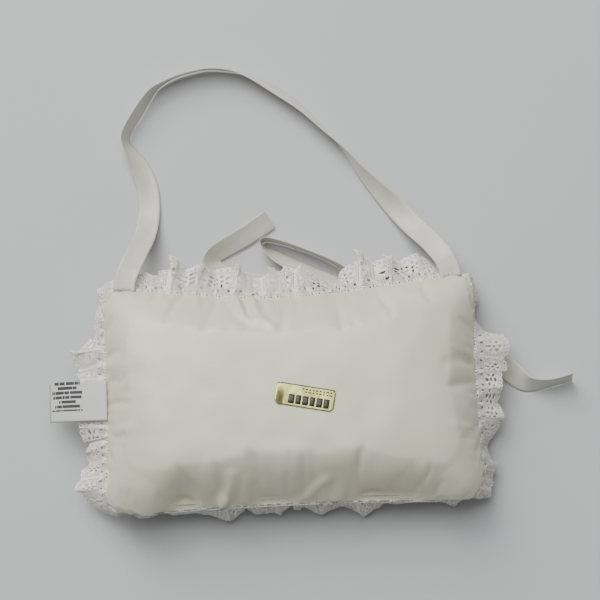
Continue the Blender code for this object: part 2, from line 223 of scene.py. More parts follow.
LOG = logging.getLogger("ring_bearer_pillow")
MM = 0.001
SIZE_FILE = "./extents.json"
WAVE_RATIO = 0.31
MERGE = 1e-6
DIAGONAL = 0.7071

Colour = tuple[float, float, float]


# ---- Mesh helpers -----------------------------------------------------------------------------
def link_mesh(name: str, form: bmesh.types.BMesh, material: bpy.types.Material) -> bpy.types.Object:
    """Turn a bmesh, drawn where it belongs, into an object at the origin.

    Args:
        name: the piece's name.
        form: the bmesh, which is freed.
        material: the piece's finish.

    Returns:
        The new object, shaded smooth.
    """
    mesh = bpy.data.meshes.new(name)
    form.to_mesh(mesh)
    form.free()
    mesh.shade_smooth()
    mesh.materials.append(material)
    piece = bpy.data.objects.new(name, mesh)
    bpy.context.scene.collection.objects.link(piece)
    return piece


def coordinates(mesh: bpy.types.Mesh) -> np.ndarray:
    """Read a mesh's points.

    Args:
        mesh: the mesh.

    Returns:
        One row for each point.
    """
    points = np.empty(len(mesh.vertices) * 3)
    mesh.vertices.foreach_get("co", points)
    return points.reshape(-1, 3)


def set_coordinates(mesh: bpy.types.Mesh, points: np.ndarray) -> None:
    """Move a mesh's points to the rows of an array."""
    mesh.vertices.foreach_set("co", points.astype(np.float32).ravel())
    mesh.update()


def thicken(piece: bpy.types.Object, thickness: float, offset: float = -1.0) -> None:
    """Give a sheet its thickness.

    Args:
        piece: the sheet.
        thickness: how thick it becomes.
        offset: -1 to grow inwards, 0 to grow both ways.
    """
    wall = piece.modifiers.new("Thickness", "SOLIDIFY")
    wall.thickness = thickness
    wall.offset = offset


def refine(piece: bpy.types.Object, levels: int = 1) -> None:
    """Smooth a piece with a subdivision surface.

    Args:
        piece: the piece.
        levels: how many times each face is split.
    """
    smooth = piece.modifiers.new("Smooth", "SUBSURF")
    smooth.levels = levels
    smooth.render_levels = levels


def evaluated_mesh(piece: bpy.types.Object) -> bpy.types.Mesh:
    """Copy what a piece's modifiers or curve make of it.

    Args:
        piece: a mesh or curve object.

    Returns:
        A new mesh.
    """
    bpy.context.view_layer.update()
    graph = bpy.context.evaluated_depsgraph_get()
    return bpy.data.meshes.new_from_object(piece.evaluated_get(graph))


def bake_modifiers(piece: bpy.types.Object) -> None:
    """Apply a piece's modifiers to its mesh.

    Args:
        piece: the piece.
    """
    mesh = evaluated_mesh(piece)
    piece.modifiers.clear()
    piece.data = mesh


def join_lower_half(form: bmesh.types.BMesh, half: bmesh.types.BMesh) -> None:
    """Join a lower half to an upper one along their shared rim.

    Args:
        form: the upper half, which becomes the closed form.
        half: the lower half, which is freed.
    """
    lower = bpy.data.meshes.new("lower_half")
    half.to_mesh(lower)
    half.free()
    form.from_mesh(lower)
    bpy.data.meshes.remove(lower)
    rim = [vert for vert in form.verts if vert.is_boundary]
    bmesh.ops.remove_doubles(form, verts=rim, dist=MERGE)
    form.normal_update()


def map_uv(form: bmesh.types.BMesh, name: str, place: Callable[[Vector], Sequence[float]]) -> None:
    """Lay a UV map over a bmesh.

    Args:
        form: the bmesh.
        name: the map's name.
        place: gives each point's place on the map.
    """
    layer = form.loops.layers.uv.new(name)
    for face in form.faces:
        for loop in face.loops:
            loop[layer].uv = place(loop.vert.co)


def smooth_step(value: float) -> float:
    """Ease a share from 0 to 1."""
    share = min(1.0, max(0.0, value))
    return share * share * (3 - 2 * share)


def wave_scale(pitch: float) -> float:
    """Scale at which a wave texture's bands lie that far apart."""
    return WAVE_RATIO / pitch / 2


# ---- Finishes ---------------------------------------------------------------------------------
class ShaderGraph:
    """A material's node tree, built one node at a time."""

    def __init__(self, name: str) -> None:
        """Start a material with one Principled shader.

        Args:
            name: the material's name.
        """
        self.material = bpy.data.materials.new(name)
        self.material.use_nodes = True
        self.tree = self.material.node_tree
        self.shader = self.tree.nodes["Principled BSDF"]

    def set(self, **values: object) -> None:
        """Set the shader's own sockets, with underscores for the spaces in their names."""
        for name, value in values.items():
            self.shader.inputs[name.replace("_", " ")].default_value = value

    def link(self, source: bpy.types.NodeSocket, target: str) -> None:
        """Link an output to one of the shader's sockets."""
        self.tree.links.new(source, self.shader.inputs[target])

    def node(self, kind: str, inputs: dict | None = None, **settings: object) -> bpy.types.Node:
        """Add a node.

        Args:
            kind: the node's type, without its ShaderNode prefix.
            inputs: a value, or an output to link, for each named or numbered input.
            settings: the node's own properties.

        Returns:
            The new node.
        """
        made = self.tree.nodes.new("ShaderNode" + kind)
        for name, value in settings.items():
            setattr(made, name, value)
        for name, value in (inputs or {}).items():
            if isinstance(value, bpy.types.NodeSocket):
                self.tree.links.new(value, made.inputs[name])
            else:
                made.inputs[name].default_value = value
        return made

    def math(self, operation: str, *values: object) -> bpy.types.NodeSocket:
        """Return the result of a sum on values and outputs."""
        return self.node("Math", dict(enumerate(values)), operation=operation).outputs[0]

    def between(self, value: bpy.types.NodeSocket, low: float, high: float) -> bpy.types.NodeSocket:
        """Return a 0 to 1 value, spread from low to high."""
        return self.node("MapRange", {"Value": value, "To Min": low, "To Max": high}).outputs["Result"]

    def place(self, scale: Sequence[float] = (1, 1, 1), turn: float = 0.0) -> bpy.types.NodeSocket:
        """Return object coordinates, scaled and turned about Z.

        Args:
            scale: the scale along each axis.
            turn: the turn in radians.

        Returns:
            The coordinates' output.
        """
        source = self.node("TexCoord").outputs["Object"]
        mapped = self.node("Mapping", {"Vector": source, "Scale": scale, "Rotation": (0, 0, turn)})
        return mapped.outputs["Vector"]

    def own_uv(self, name: str, scale: Sequence[float] = (1, 1, 1)) -> bpy.types.NodeSocket:
        """Return the piece's own UV map, scaled."""
        source = self.node("UVMap", uv_map=name).outputs["UV"]
        return self.node("Mapping", {"Vector": source, "Scale": scale}).outputs["Vector"]

    def noise(self, vector: bpy.types.NodeSocket, scale: float, detail: float = 3.0) -> bpy.types.NodeSocket:
        """Return a noise pattern's value."""
        return self.node("TexNoise", {"Vector": vector, "Scale": scale, "Detail": detail}).outputs["Fac"]

    def ramp(self, value: bpy.types.NodeSocket, *stops: tuple[float, Colour]) -> None:
        """Give the shader's base colour as a ramp over a value.

        Args:
            value: the ramp's input.
            stops: pairs of place and colour.
        """
        made = self.node("ValToRGB", {"Fac": value})
        while len(made.color_ramp.elements) < len(stops):
            made.color_ramp.elements.new(0.5)
        for element, (place, colour) in zip(made.color_ramp.elements, stops):
            element.position = place
            element.color = (*colour, 1.0)
        self.link(made.outputs["Color"], "Base Color")

    def bump(self, height: bpy.types.NodeSocket, distance: float, strength: float = 1.0) -> None:
        """Add a bump, on top of any the shader already has.

        Args:
            height: the bump's pattern.
            distance: its full height.
            strength: how strongly it shows.
        """
        inputs = {"Height": height, "Distance": distance, "Strength": strength}
        before = self.shader.inputs["Normal"].links
        if before:
            inputs["Normal"] = before[0].from_socket
        self.link(self.node("Bump", inputs).outputs["Normal"], "Normal")


class Finish:
    """A finish that can be made a material."""

    def dress(self, graph: ShaderGraph) -> None:
        """Set the shader and add the finish's nodes."""
        raise NotImplementedError

    def material(self, name: str) -> bpy.types.Material:
        """Make the finish a material.

        Args:
            name: the material's name.

        Returns:
            The new material.
        """
        graph = ShaderGraph(name)
        self.dress(graph)
        return graph.material


@dataclass(frozen=True)
class SatinFinish(Finish):
    """Warm ivory polyester satin, a little yellowed in patches."""

    light: Colour = (0.75, 0.74, 0.585)
    aged: Colour = (0.73, 0.71, 0.525)
    roughness: float = 0.44
    thread_pitch: float = 0.00028
    twill_turn: float = math.radians(27)
    patch_scale: float = 34.0
    slub_scale: tuple[float, float, float] = (26.0, 900.0, 900.0)
    crumple_scale: float = 150.0

    def dress(self, graph: ShaderGraph) -> None:
        """Add yellowed patches, slubs, twill and faint crumples.

        Args:
            graph: the material's nodes.
        """
        graph.set(Metallic=0.07, Specular_IOR_Level=0.50, Anisotropic=0.35)
        graph.set(Sheen_Weight=0.12, Sheen_Roughness=0.4, Sheen_Tint=(1.0, 0.98, 0.88, 1.0))
        place = graph.place()
        graph.ramp(graph.noise(place, self.patch_scale, 4.0), (0.38, self.light), (0.68, self.aged))
        slubs = graph.noise(graph.place(self.slub_scale), 1.0, 2.0)
        graph.link(graph.between(slubs, self.roughness - 0.05, self.roughness + 0.08), "Roughness")
        twill = graph.node("TexWave", {"Vector": graph.place((1, 1, 1), self.twill_turn),
                                       "Scale": wave_scale(self.thread_pitch), "Distortion": 0.6,
                                       "Detail": 1.0, "Detail Scale": 2.0}, bands_direction="X")
        graph.bump(twill.outputs["Fac"], 0.00002, 0.35)
        graph.bump(slubs, 0.00004, 0.5)
        graph.bump(graph.noise(place, self.crumple_scale, 3.0), 0.0003, 0.16)


@dataclass(frozen=True)
class LaceFinish(Finish):
    """Off-white knitted lace: dense flowers and borders, with a sheer net ground between them."""

    light: Colour = (0.94, 0.925, 0.855)
    shade: Colour = (0.88, 0.86, 0.775)
    loop_scale: float = 2.4
    net_pitch: float = 0.0008
    net_thread: float = 0.17

    def dress(self, graph: ShaderGraph) -> None:
        """Add the knitted loops and leave the net's gaps open.

        Args:
            graph: the material's nodes.
        """
        graph.set(Roughness=0.8, Sheen_Weight=0.35, Sheen_Roughness=0.6, Specular_IOR_Level=0.25)
        strip = graph.own_uv("strip", (1 / MM, 1 / MM, 1 / MM))
        loops = graph.node("TexVoronoi", {"Vector": strip, "Scale": self.loop_scale, "Randomness": 0.5})
        graph.ramp(loops.outputs["Distance"], (0.15, self.light), (0.8, self.shade))
        graph.bump(loops.outputs["Distance"], 0.0002, 0.7)
        graph.bump(graph.noise(strip, 5.0, 2.0), 0.0001, 0.6)
        net = graph.node("TexVoronoi", {"Vector": strip, "Scale": MM / self.net_pitch, "Randomness": 0.35},
                         feature="DISTANCE_TO_EDGE")
        thread = graph.math("LESS_THAN", net.outputs["Distance"], self.net_thread)
        dense = graph.node("Attribute", attribute_name="dense").outputs["Fac"]
        graph.link(graph.math("MAXIMUM", thread, dense), "Alpha")


@dataclass(frozen=True)
class RibbonFinish(Finish):
    """Ivory satin ribbon with fine ribs across and a firm selvage."""

    light: Colour = (0.67, 0.66, 0.58)
    shade: Colour = (0.62, 0.605, 0.52)
    rib_pitch: float = 0.0004
    selvage_pitch: float = 0.0006
    cloud_scale: tuple[float, float, float] = (60.0, 340.0, 1.0)

    def dress(self, graph: ShaderGraph) -> None:
        """Add ribs, lengthwise threads and soft clouds.

        Args:
            graph: the material's nodes.
        """
        graph.set(Roughness=0.33, Sheen_Weight=0.15, Specular_IOR_Level=0.45, Anisotropic=0.4)
        strip = graph.own_uv("strip")
        soft = graph.noise(graph.own_uv("strip", self.cloud_scale), 1.0, 3.0)
        graph.ramp(soft, (0.3, self.light), (0.75, self.shade))
        ribs = graph.node("TexWave", {"Vector": strip, "Scale": wave_scale(self.rib_pitch)},
                          bands_direction="X")
        graph.bump(ribs.outputs["Fac"], 0.00003, 0.5)
        edge = graph.node("TexWave", {"Vector": strip, "Scale": wave_scale(self.selvage_pitch),
                                      "Distortion": 1.0}, bands_direction="Y")
        graph.bump(edge.outputs["Fac"], 0.00003, 0.25)
        graph.bump(soft, 0.0002, 0.3)


@dataclass(frozen=True)
class ThreadFinish(Finish):
    """Spun sewing thread with its twist."""

    light: Colour = (0.72, 0.70, 0.60)
    shade: Colour = (0.52, 0.50, 0.42)
    twist_scale: float = 420.0

    def dress(self, graph: ShaderGraph) -> None:
        """Add the thread's twist.

        Args:
            graph: the material's nodes.
        """
        graph.set(Roughness=0.62, Sheen_Weight=0.2, Specular_IOR_Level=0.3)
        twist = graph.node("TexWave", {"Vector": graph.place((1, 1, 2)), "Scale": self.twist_scale,
                                       "Distortion": 1.5}, bands_direction="DIAGONAL")
        graph.ramp(twist.outputs["Fac"], (0.1, self.shade), (0.7, self.light))
        graph.bump(twist.outputs["Fac"], 0.0001, 0.8)


@dataclass(frozen=True)
class FibreFinish(Finish):
    """White carded polyester fibre."""

    light: Colour = (0.9, 0.9, 0.89)
    shade: Colour = (0.7, 0.7, 0.69)
    fibre_scale: tuple[float, float, float] = (500.0, 90.0, 500.0)

    def dress(self, graph: ShaderGraph) -> None:
        """Add the combed fibres.

        Args:
            graph: the material's nodes.
        """
        graph.set(Roughness=0.95, Sheen_Weight=0.6, Specular_IOR_Level=0.1)
        fibres = graph.noise(graph.place(self.fibre_scale), 1.0, 6.0)
        graph.ramp(fibres, (0.35, self.shade), (0.65, self.light))
        graph.bump(fibres, 0.001, 0.8)


@dataclass(frozen=True)
class TagFinish(Finish):
    """White coated tape with rows of grey print that stands for care text and spells nothing."""

    cloth: Colour = (0.62, 0.62, 0.60)
    ink: Colour = (0.05, 0.05, 0.055)
    row_count: float = 8.6
    row_share: float = 0.66
    last_row: float = 0.74
    print_middle: float = 0.31
    shortest_row: float = 0.15
    longest_row: float = 0.28
    dash_scale: float = 38.0
    dash_level: float = 0.40
    weave_scale: float = 380.0

    def dress(self, graph: ShaderGraph) -> None:
        """Add the rows of print and the tape's weave.

        Args:
            graph: the material's nodes.
        """
        graph.set(Roughness=0.6, Sheen_Weight=0.1, Specular_IOR_Level=0.35)
        split = graph.node("SeparateXYZ", {"Vector": graph.own_uv("print")})
        across, along = split.outputs["Y"], split.outputs["X"]
        row = graph.math("MULTIPLY", across, self.row_count)
        whole = graph.math("FLOOR", row)
        cell = graph.node("CombineXYZ", {"X": along, "Y": whole}).outputs[0]
        ragged = graph.node("TexWhiteNoise", {"W": whole}, noise_dimensions="1D").outputs["Value"]
        away = graph.math("ABSOLUTE", graph.math("SUBTRACT", along, self.print_middle))
        value = graph.math("LESS_THAN", graph.math("FRACT", row), self.row_share)
        for mask in (
            graph.math("GREATER_THAN", graph.noise(cell, self.dash_scale, 1.0), self.dash_level),
            graph.math("LESS_THAN", away, graph.between(ragged, self.shortest_row, self.longest_row)),
            graph.math("LESS_THAN", across, self.last_row),
        ):
            value = graph.math("MULTIPLY", value, mask)
        graph.ramp(value, (0.0, self.cloth), (1.0, self.ink))
        weave = graph.node("TexWave", {"Vector": graph.place(), "Scale": self.weave_scale},
                           bands_direction="Y")
        graph.bump(weave.outputs["Fac"], 0.00003, 0.4)
        graph.bump(graph.noise(graph.place(), 160.0), 0.0002, 0.3)


@dataclass(frozen=True)
class FoilFinish(Finish):
    """Pale gold foil with soft bands."""

    bright: Colour = (0.57, 0.56, 0.22)
    deep: Colour = (0.31, 0.30, 0.10)
    smoothest: float = 0.22
    roughest: float = 0.42

    def dress(self, graph: ShaderGraph) -> None:
        """Add soft bands, rubbed patches and small dents.

        Args:
            graph: the material's nodes.
        """
        graph.set(Metallic=0.8, Specular_IOR_Level=0.6)
        bands = graph.noise(graph.own_uv("print", (3.0, 0.8, 1.0)), 1.6, 2.0)
        graph.ramp(bands, (0.35, self.deep), (0.62, self.bright))
        rubbed = graph.noise(graph.place(), 900.0, 3.0)
        graph.link(graph.between(rubbed, self.smoothest, self.roughest), "Roughness")
        graph.bump(graph.noise(graph.place(), 420.0, 2.0), 0.00025, 0.35)


@dataclass(frozen=True)
class InkFinish(Finish):
    """Dark label print, slightly worn."""

    dark: Colour = (0.045, 0.042, 0.035)
    worn: Colour = (0.09, 0.082, 0.055)
    wear_scale: float = 1500.0

    def dress(self, graph: ShaderGraph) -> None:
        """Add the worn specks.

        Args:
            graph: the material's nodes.
        """
        graph.set(Roughness=0.4)
        wear = graph.noise(graph.place(), self.wear_scale, 3.0)
        graph.ramp(wear, (0.45, self.dark), (0.75, self.worn))
        graph.bump(wear, 0.00005, 0.4)


@dataclass(frozen=True)
class TableFinish(Finish):
    """Pale grey table top."""

    colour: Colour = (0.56, 0.565, 0.575)
    mottle: float = 1.02

    def dress(self, graph: ShaderGraph) -> None:
        """Add a faint mottle.

        Args:
            graph: the material's nodes.
        """
        graph.set(Roughness=0.7, Specular_IOR_Level=0.3)
        lighter = tuple(channel * self.mottle for channel in self.colour)
        graph.ramp(graph.noise(graph.place(), 9.0, 3.0), (0.3, self.colour), (0.7, lighter))


class Finishes:
    """Every material of the pillow, made once."""

    def __init__(self) -> None:
        """Make the materials."""
        self.back_satin = SatinFinish().material("back_satin")
        self.front_satin = SatinFinish(light=(0.75, 0.74, 0.63)).material("front_satin")
        self.lace = LaceFinish().material("lace")
        self.ribbon = RibbonFinish().material("satin_ribbon")
        self.thread = ThreadFinish().material("sewing_thread")
        self.fibre = FibreFinish().material("polyester_fibre")
        self.tag = TagFinish().material("tag_cloth")
        self.foil = FoilFinish().material("gold_foil")
        self.ink = InkFinish().material("label_ink")


# ---- Pillow form ------------------------------------------------------------------------------
class Side(Enum):
    """The two halves of the cover."""

    BACK = 1
    FRONT = -1


@dataclass
class PillowForm:
    """The stuffed shape that the cover, the filling, the lace and the label share."""

    half_length: float
    half_depth: float
    seam_height: float
    back_crown: float
    front_crown: float
    corner_cut: float = 0.045
    corner_power: float = 9.0
    crown_power: float = 3.0
    crown_power_deep: float = 2.55
    long_side_pull: float = 0.0025
    short_side_pull: float = 0.0012
    far_corner_reach: float = 0.0022
    outline_steps: int = 2880
    far_pull: tuple[tuple[float, float], ...] = (
        (-1.0, 0.0024), (-0.87, 0.0010), (-0.7, 0.0), (-0.2, -0.0034), (0.1, -0.0030), (0.44, -0.0014),
        (0.7, 0.0004), (0.87, 0.0016), (1.0, 0.0034),
    )

    @classmethod
    def from_frame(cls, let_out: float = 0.0012, front_share: float = 1.25) -> "PillowForm":
        """Read the form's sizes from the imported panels.

        Args:
            let_out: how far the long sides are let out before they are drawn in.
            front_share: how much deeper the front is before it is pressed flat on the table.

        Returns:
            The form.
        """
        low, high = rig.box("back_panel")
        front_low, front_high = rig.box("front_panel")
        seam = (low.z + front_high.z) / 2
        return cls(high.x, high.y + let_out, seam, high.z - seam, front_share * (seam - front_low.z))

    def plan(self, u: float, v: float, inset: float = 0.0) -> tuple[float, float]:
        """Find where a place of the cover lies in plan.

        Args:
            u: the place along the pillow, -1 to 1.
            v: the place across it, -1 to 1.
            inset: how far the seam line is drawn in.

        Returns:
            The place's x and y.
        """
        x = (self.half_length - inset) * u * (1 - self.corner_cut * abs(v) ** self.corner_power)
        y = (self.half_depth - inset) * v * (1 - self.corner_cut * abs(u) ** self.corner_power)
        x -= math.copysign(self.short_side_pull * u * u * (1 - v * v), u)
        y -= math.copysign(self.long_side_pull * v * v * (1 - u * u), v)
        if v > 0:
            places, pulls = zip(*self.far_pull)
            y += float(np.interp(u, places, pulls)) * v ** 3
            x += self.far_corner_reach * max(0.0, u) ** 6 * v ** 6
        return x, y

    def share(self, u: float, v: float) -> float:
        """Height of the stuffed form at (u, v), as a share of its full height."""
        rise = (1 - abs(u) ** self.crown_power) * (1 - abs(v) ** self.crown_power_deep)
        return math.sqrt(max(0.0, rise))

    def height(self, side: Side, u: float, v: float, less: float = 0.0) -> float:
        """Find the height of one half's outer face.

        Args:
            side: which half.
            u: the place along the pillow, -1 to 1.
            v: the place across it, -1 to 1.
            less: how far the face is drawn in.

        Returns:
            The height over the table.
        """
        if side is Side.BACK:
            return self.seam_height + (self.back_crown - less) * self.share(u, v)
        return max(less, self.seam_height - (self.front_crown - less) * self.share(u, v))

    def seam(self, count: int) -> tuple[np.ndarray, np.ndarray, float]:
        """Even stations along the seam line.

        Args:
            count: how many stations.

        Returns:
            Their plan positions, their outward normals and the line's whole length.
        """
        angles = np.linspace(0, 2 * np.pi, self.outline_steps + 1)
        line = []
        for angle in angles:
            reach = max(abs(math.cos(angle)), abs(math.sin(angle)))
            line.append(self.plan(math.cos(angle) / reach, math.sin(angle) / reach))
        line = np.array(line)
        along = np.concatenate([[0], np.cumsum(np.linalg.norm(np.diff(line, axis=0), axis=1))])
        places = np.linspace(0, along[-1], count, endpoint=False)
        points = np.column_stack([np.interp(places, along, line[:, axis]) for axis in (0, 1)])
        tangents = np.roll(points, -1, axis=0) - np.roll(points, 1, axis=0)
        tangents /= np.linalg.norm(tangents, axis=1, keepdims=True)
        return points, np.column_stack([tangents[:, 1], -tangents[:, 0]]), float(along[-1])

    def half(self, side: Side, cells: tuple[int, int], inset: float = 0.0,
             less: float = 0.0) -> bmesh.types.BMesh:
        """Grid over one half, with its rim on the seam line.

        Args:
            side: which half.
            cells: how many cells along and across.
            inset: how far the seam line is drawn in.
            less: how far the face is drawn in.

        Returns:
            The grid as a bmesh, facing outwards.
        """
        form = bmesh.new()
        bmesh.ops.create_grid(form, x_segments=cells[0], y_segments=cells[1], size=1.0)
        for vert in form.verts:
            u, v = (math.sin(math.pi / 2 * place) for place in vert.co.xy)
            vert.co = (*self.plan(u, v, inset), self.height(side, u, v, less))
        if side is Side.FRONT:
            bmesh.ops.reverse_faces(form, faces=form.faces)
        return form


# ---- Satin cover ------------------------------------------------------------------------------
@dataclass(frozen=True)
class Pucker:
    """One crease in the satin, in plan millimetres: it runs from start to end and fades inwards."""

    start: tuple[float, float]
    end: tuple[float, float]
    width: float
    height: float
    bend: float = 0.0
    ridged: bool = True
    valley: float = 1.1
    fade: float = 0.75

    def rise(self, points: np.ndarray) -> np.ndarray:
        """Rise of the cloth at plan points, in metres.

        Args:
            points: rows of x and y in metres.

        Returns:
            One rise for each row.
        """
        start, end = np.array(self.start), np.array(self.end)
        length = np.linalg.norm(end - start)
        forward = (end - start) / length
        sideways = np.array([-forward[1], forward[0]])
        away = points / MM - start
        share = np.clip(away @ forward / length, 0, 1)
        swerve = self.bend * np.sin(2 * np.pi * share)
        centre = np.outer(share * length, forward) + np.outer(swerve, sideways)
        reach = np.linalg.norm(away - centre, axis=1) / self.width
        profile = np.exp(-reach ** 2)
        if self.ridged:
            profile *= 1 - self.valley * reach ** 2
        return self.height * MM * profile * (1 - self.fade * share)


PUCKERS = (
    # far side, from left to right
    Pucker((-41.0, 49.0), (-39.0, 38.0), 1.9, 2.0),
    Pucker((-29.0, 47.5), (-14.0, 29.0), 2.4, 5.2, 1.8),
    Pucker((-21.5, 47.0), (-7.0, 27.0), 2.6, 5.2, 2.0),
    Pucker((-31.5, 47.5), (-28.0, 37.0), 1.7, 1.2),
    Pucker((27.0, 48.0), (31.5, 38.0), 1.9, 2.7),
    Pucker((37.0, 49.0), (33.5, 41.0), 1.5, 1.0),
    Pucker((8.0, 46.0), (6.0, 37.0), 2.2, 1.0),
    Pucker((-56.0, 49.5), (-52.0, 38.0), 2.2, 0.9),
    # near side, from left to right
    Pucker((-66.0, -47.0), (-60.0, -38.0), 11.0, 4.2, ridged=False),
    Pucker((-48.0, -46.0), (-45.0, -36.0), 6.5, -4.4, ridged=False),
    Pucker((-33.0, -51.0), (-27.0, -36.0), 2.9, 4.6, 0.8),
    Pucker((-22.0, -51.0), (-20.5, -37.0), 2.0, 1.5),
    Pucker((-12.0, -49.5), (5.0, -48.5), 5.4, -3.8, ridged=False),
    Pucker((-4.0, -50.0), (15.0, -38.0), 2.1, 3.0, -0.6),
    Pucker((16.5, -47.5), (20.0, -43.0), 3.4, 3.0, ridged=False),
    Pucker((24.5, -51.0), (27.0, -36.0), 2.0, 1.6),
    Pucker((32.0, -49.0), (56.0, -48.0), 6.0, -4.4, ridged=False),
    Pucker((60.0, -51.0), (54.0, -36.0), 2.6, 1.6),
    Pucker((70.0, -44.0), (64.0, -38.0), 9.0, 2.4, ridged=False),
    # the full edge above the near side
    Pucker((-6.0, -34.0), (-64.0, -35.0), 9.0, 1.2, ridged=False),
    Pucker((6.0, -34.0), (64.0, -35.0), 9.0, 1.2, ridged=False),
    # short sides
    Pucker((82.0, 12.0), (66.0, 8.0), 2.6, -1.6, 0.6),
    Pucker((81.0, -20.0), (68.0, -18.0), 2.4, 1.0),
    Pucker((-81.0, 16.0), (-69.0, 13.0), 2.4, 0.8),
    Pucker((-81.0, -16.0), (-68.0, -14.0), 2.8, 1.0),
)


@dataclass
class SatinCover:
    """Both satin panels, sewn at the seam, blown up by a cloth simulation and then parted."""

    form: PillowForm
    finishes: Finishes
    cells: tuple[int, int] = (140, 88)
    enlarge: float = 10.0
    pressure: float = 7.0
    slack: float = 0.05
    frames: int = 24
    quality: int = 6
    cloth_mass: float = 0.25
    stretch_stiffness: float = 18.0
    shear_stiffness: float = 8.0
    bending_stiffness: float = 0.5
    most_move: float = 0.0042
    satin: float = 0.0004
    start_lower: float = 0.0042
    rumple: float = 0.0005
    rumple_scale: float = 95.0
    crease_start: float = 0.003
    knee: float = 0.014
    top_rise: float = 0.003
    table_gap: float = 0.0001
    at_seam: float = 1e-4

    def sewn(self) -> bpy.types.Object:
        """Sew both halves into one closed mesh, enlarged for the solver.

        Returns:
            The mesh, with its seam as a group.
        """
        form = self.form.half(Side.BACK, self.cells, 0.0, self.start_lower)
        join_lower_half(form, self.form.half(Side.FRONT, self.cells))
        for vert in form.verts:
            if abs(vert.co.z - self.form.seam_height) > MM:
                vert.co += vert.normal * (noise.noise(vert.co * self.rumple_scale) * self.rumple)
        bmesh.ops.scale(form, vec=[self.enlarge] * 3, verts=form.verts)
        piece = link_mesh("cover_work", form, self.finishes.back_satin)
        held = piece.vertex_groups.new(name="seam")
        level = self.form.seam_height * self.enlarge
        sewn = [vert.index for vert in piece.data.vertices if abs(vert.co.z - level) < self.at_seam]
        held.add(sewn, 1.0, "REPLACE")
        return piece

    def inflate(self, piece: bpy.types.Object) -> np.ndarray:
        """Blow the cover up with the cloth solver.

        Args:
            piece: the closed mesh, at the solver's size.

        Returns:
            The settled points, at real size.
        """
        start = coordinates(piece.data) / self.enlarge
        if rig.quick():
            return start
        cloth = piece.modifiers.new("Cloth", "CLOTH")
        cloth.settings.vertex_group_mass = "seam"
        cloth.settings.use_pressure = True
        cloth.settings.uniform_pressure_force = self.pressure
        cloth.settings.quality = self.quality
        cloth.settings.mass = self.cloth_mass
        cloth.settings.tension_stiffness = self.stretch_stiffness
        cloth.settings.compression_stiffness = self.stretch_stiffness
        cloth.settings.shear_stiffness = self.shear_stiffness
        cloth.settings.bending_stiffness = self.bending_stiffness
        cloth.settings.shrink_min = -self.slack
        cloth.settings.effector_weights.gravity = 0
        cloth.collision_settings.use_collision = False
        cloth.point_cache.frame_start = 1
        cloth.point_cache.frame_end = self.frames
        for step in range(1, self.frames + 1):
            bpy.context.scene.frame_set(step)
        graph = bpy.context.evaluated_depsgraph_get()
        settled = piece.evaluated_get(graph).to_mesh()
        end = coordinates(settled) / self.enlarge
        piece.evaluated_get(graph).to_mesh_clear()
        piece.modifiers.clear()
        bpy.context.scene.frame_set(1)
        move = end - start
        length = np.linalg.norm(move, axis=1, keepdims=True)
        return start + move * np.minimum(1.0, self.most_move / np.maximum(length, 1e-9))

    def crease(self, piece: bpy.types.Object, points: np.ndarray) -> np.ndarray:
        """Add the creases along the seam, which the back panel shows.

        Args:
            piece: the cover's mesh, which gives the way the cloth faces.
            points: the cover's points.

        Returns:
            The creased points.
        """
        set_coordinates(piece.data, points)
        normals = np.array([vert.normal[:] for vert in piece.data.vertices])
        above = np.clip((points[:, 2] - self.form.seam_height) / self.crease_start, 0, 1)
        rise = sum(pucker.rise(points[:, :2]) for pucker in PUCKERS) * above
        return points + normals * rise[:, None]

    def settle(self, points: np.ndarray) -> np.ndarray:
        """Keep the cover under its height and press its front flat on the table.

        Args:
            points: the cover's points.

        Returns:
            The settled points.
        """
        points = points.copy()
        bend = self.form.seam_height + self.form.back_crown + self.top_rise - self.knee
        over = np.maximum(0, points[:, 2] - bend)
        points[:, 2] += self.knee * np.tanh(over / self.knee) - over
        points[:, 2] = np.maximum(points[:, 2], self.table_gap)
        return points

    def build(self) -> list[bpy.types.Object]:
        """Make the two panels.

        Returns:
            The back panel and the front panel.
        """
        piece = self.sewn()
        points = self.settle(self.crease(piece, self.inflate(piece)))
        set_coordinates(piece.data, points)
        faces = self.cells[0] * self.cells[1]
        panels = []
        for side, name, finish in (
            (Side.BACK, "back_satin_panel", self.finishes.back_satin),
            (Side.FRONT, "front_satin_panel", self.finishes.front_satin),
        ):
            form = bmesh.new()
            form.from_mesh(piece.data)
            form.faces.ensure_lookup_table()
            drop = form.faces[faces:] if side is Side.BACK else form.faces[:faces]
            bmesh.ops.delete(form, geom=list(drop), context="FACES")
            if side is Side.BACK:
                self.surface = BVHTree.FromBMesh(form)
            panel = link_mesh(name, form, finish)
            refine(panel)
            thicken(panel, self.satin)
            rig.ride(panel, "pillow")
            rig.replaces(panel, "back_panel" if side is Side.BACK else "front_panel")
            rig.slot(panel, "back_satin" if side is Side.BACK else "front_satin")
            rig.padded(panel, fill=0.8)
            panels.append(panel)
        bpy.data.objects.remove(piece)
        return panels

    def top_at(self, x: float, y: float) -> float:
        """Height of the back panel's outer face at a place in plan."""
        return self.surface.ray_cast(Vector((x, y, 1.0)), Vector((0, 0, -1)))[0].z


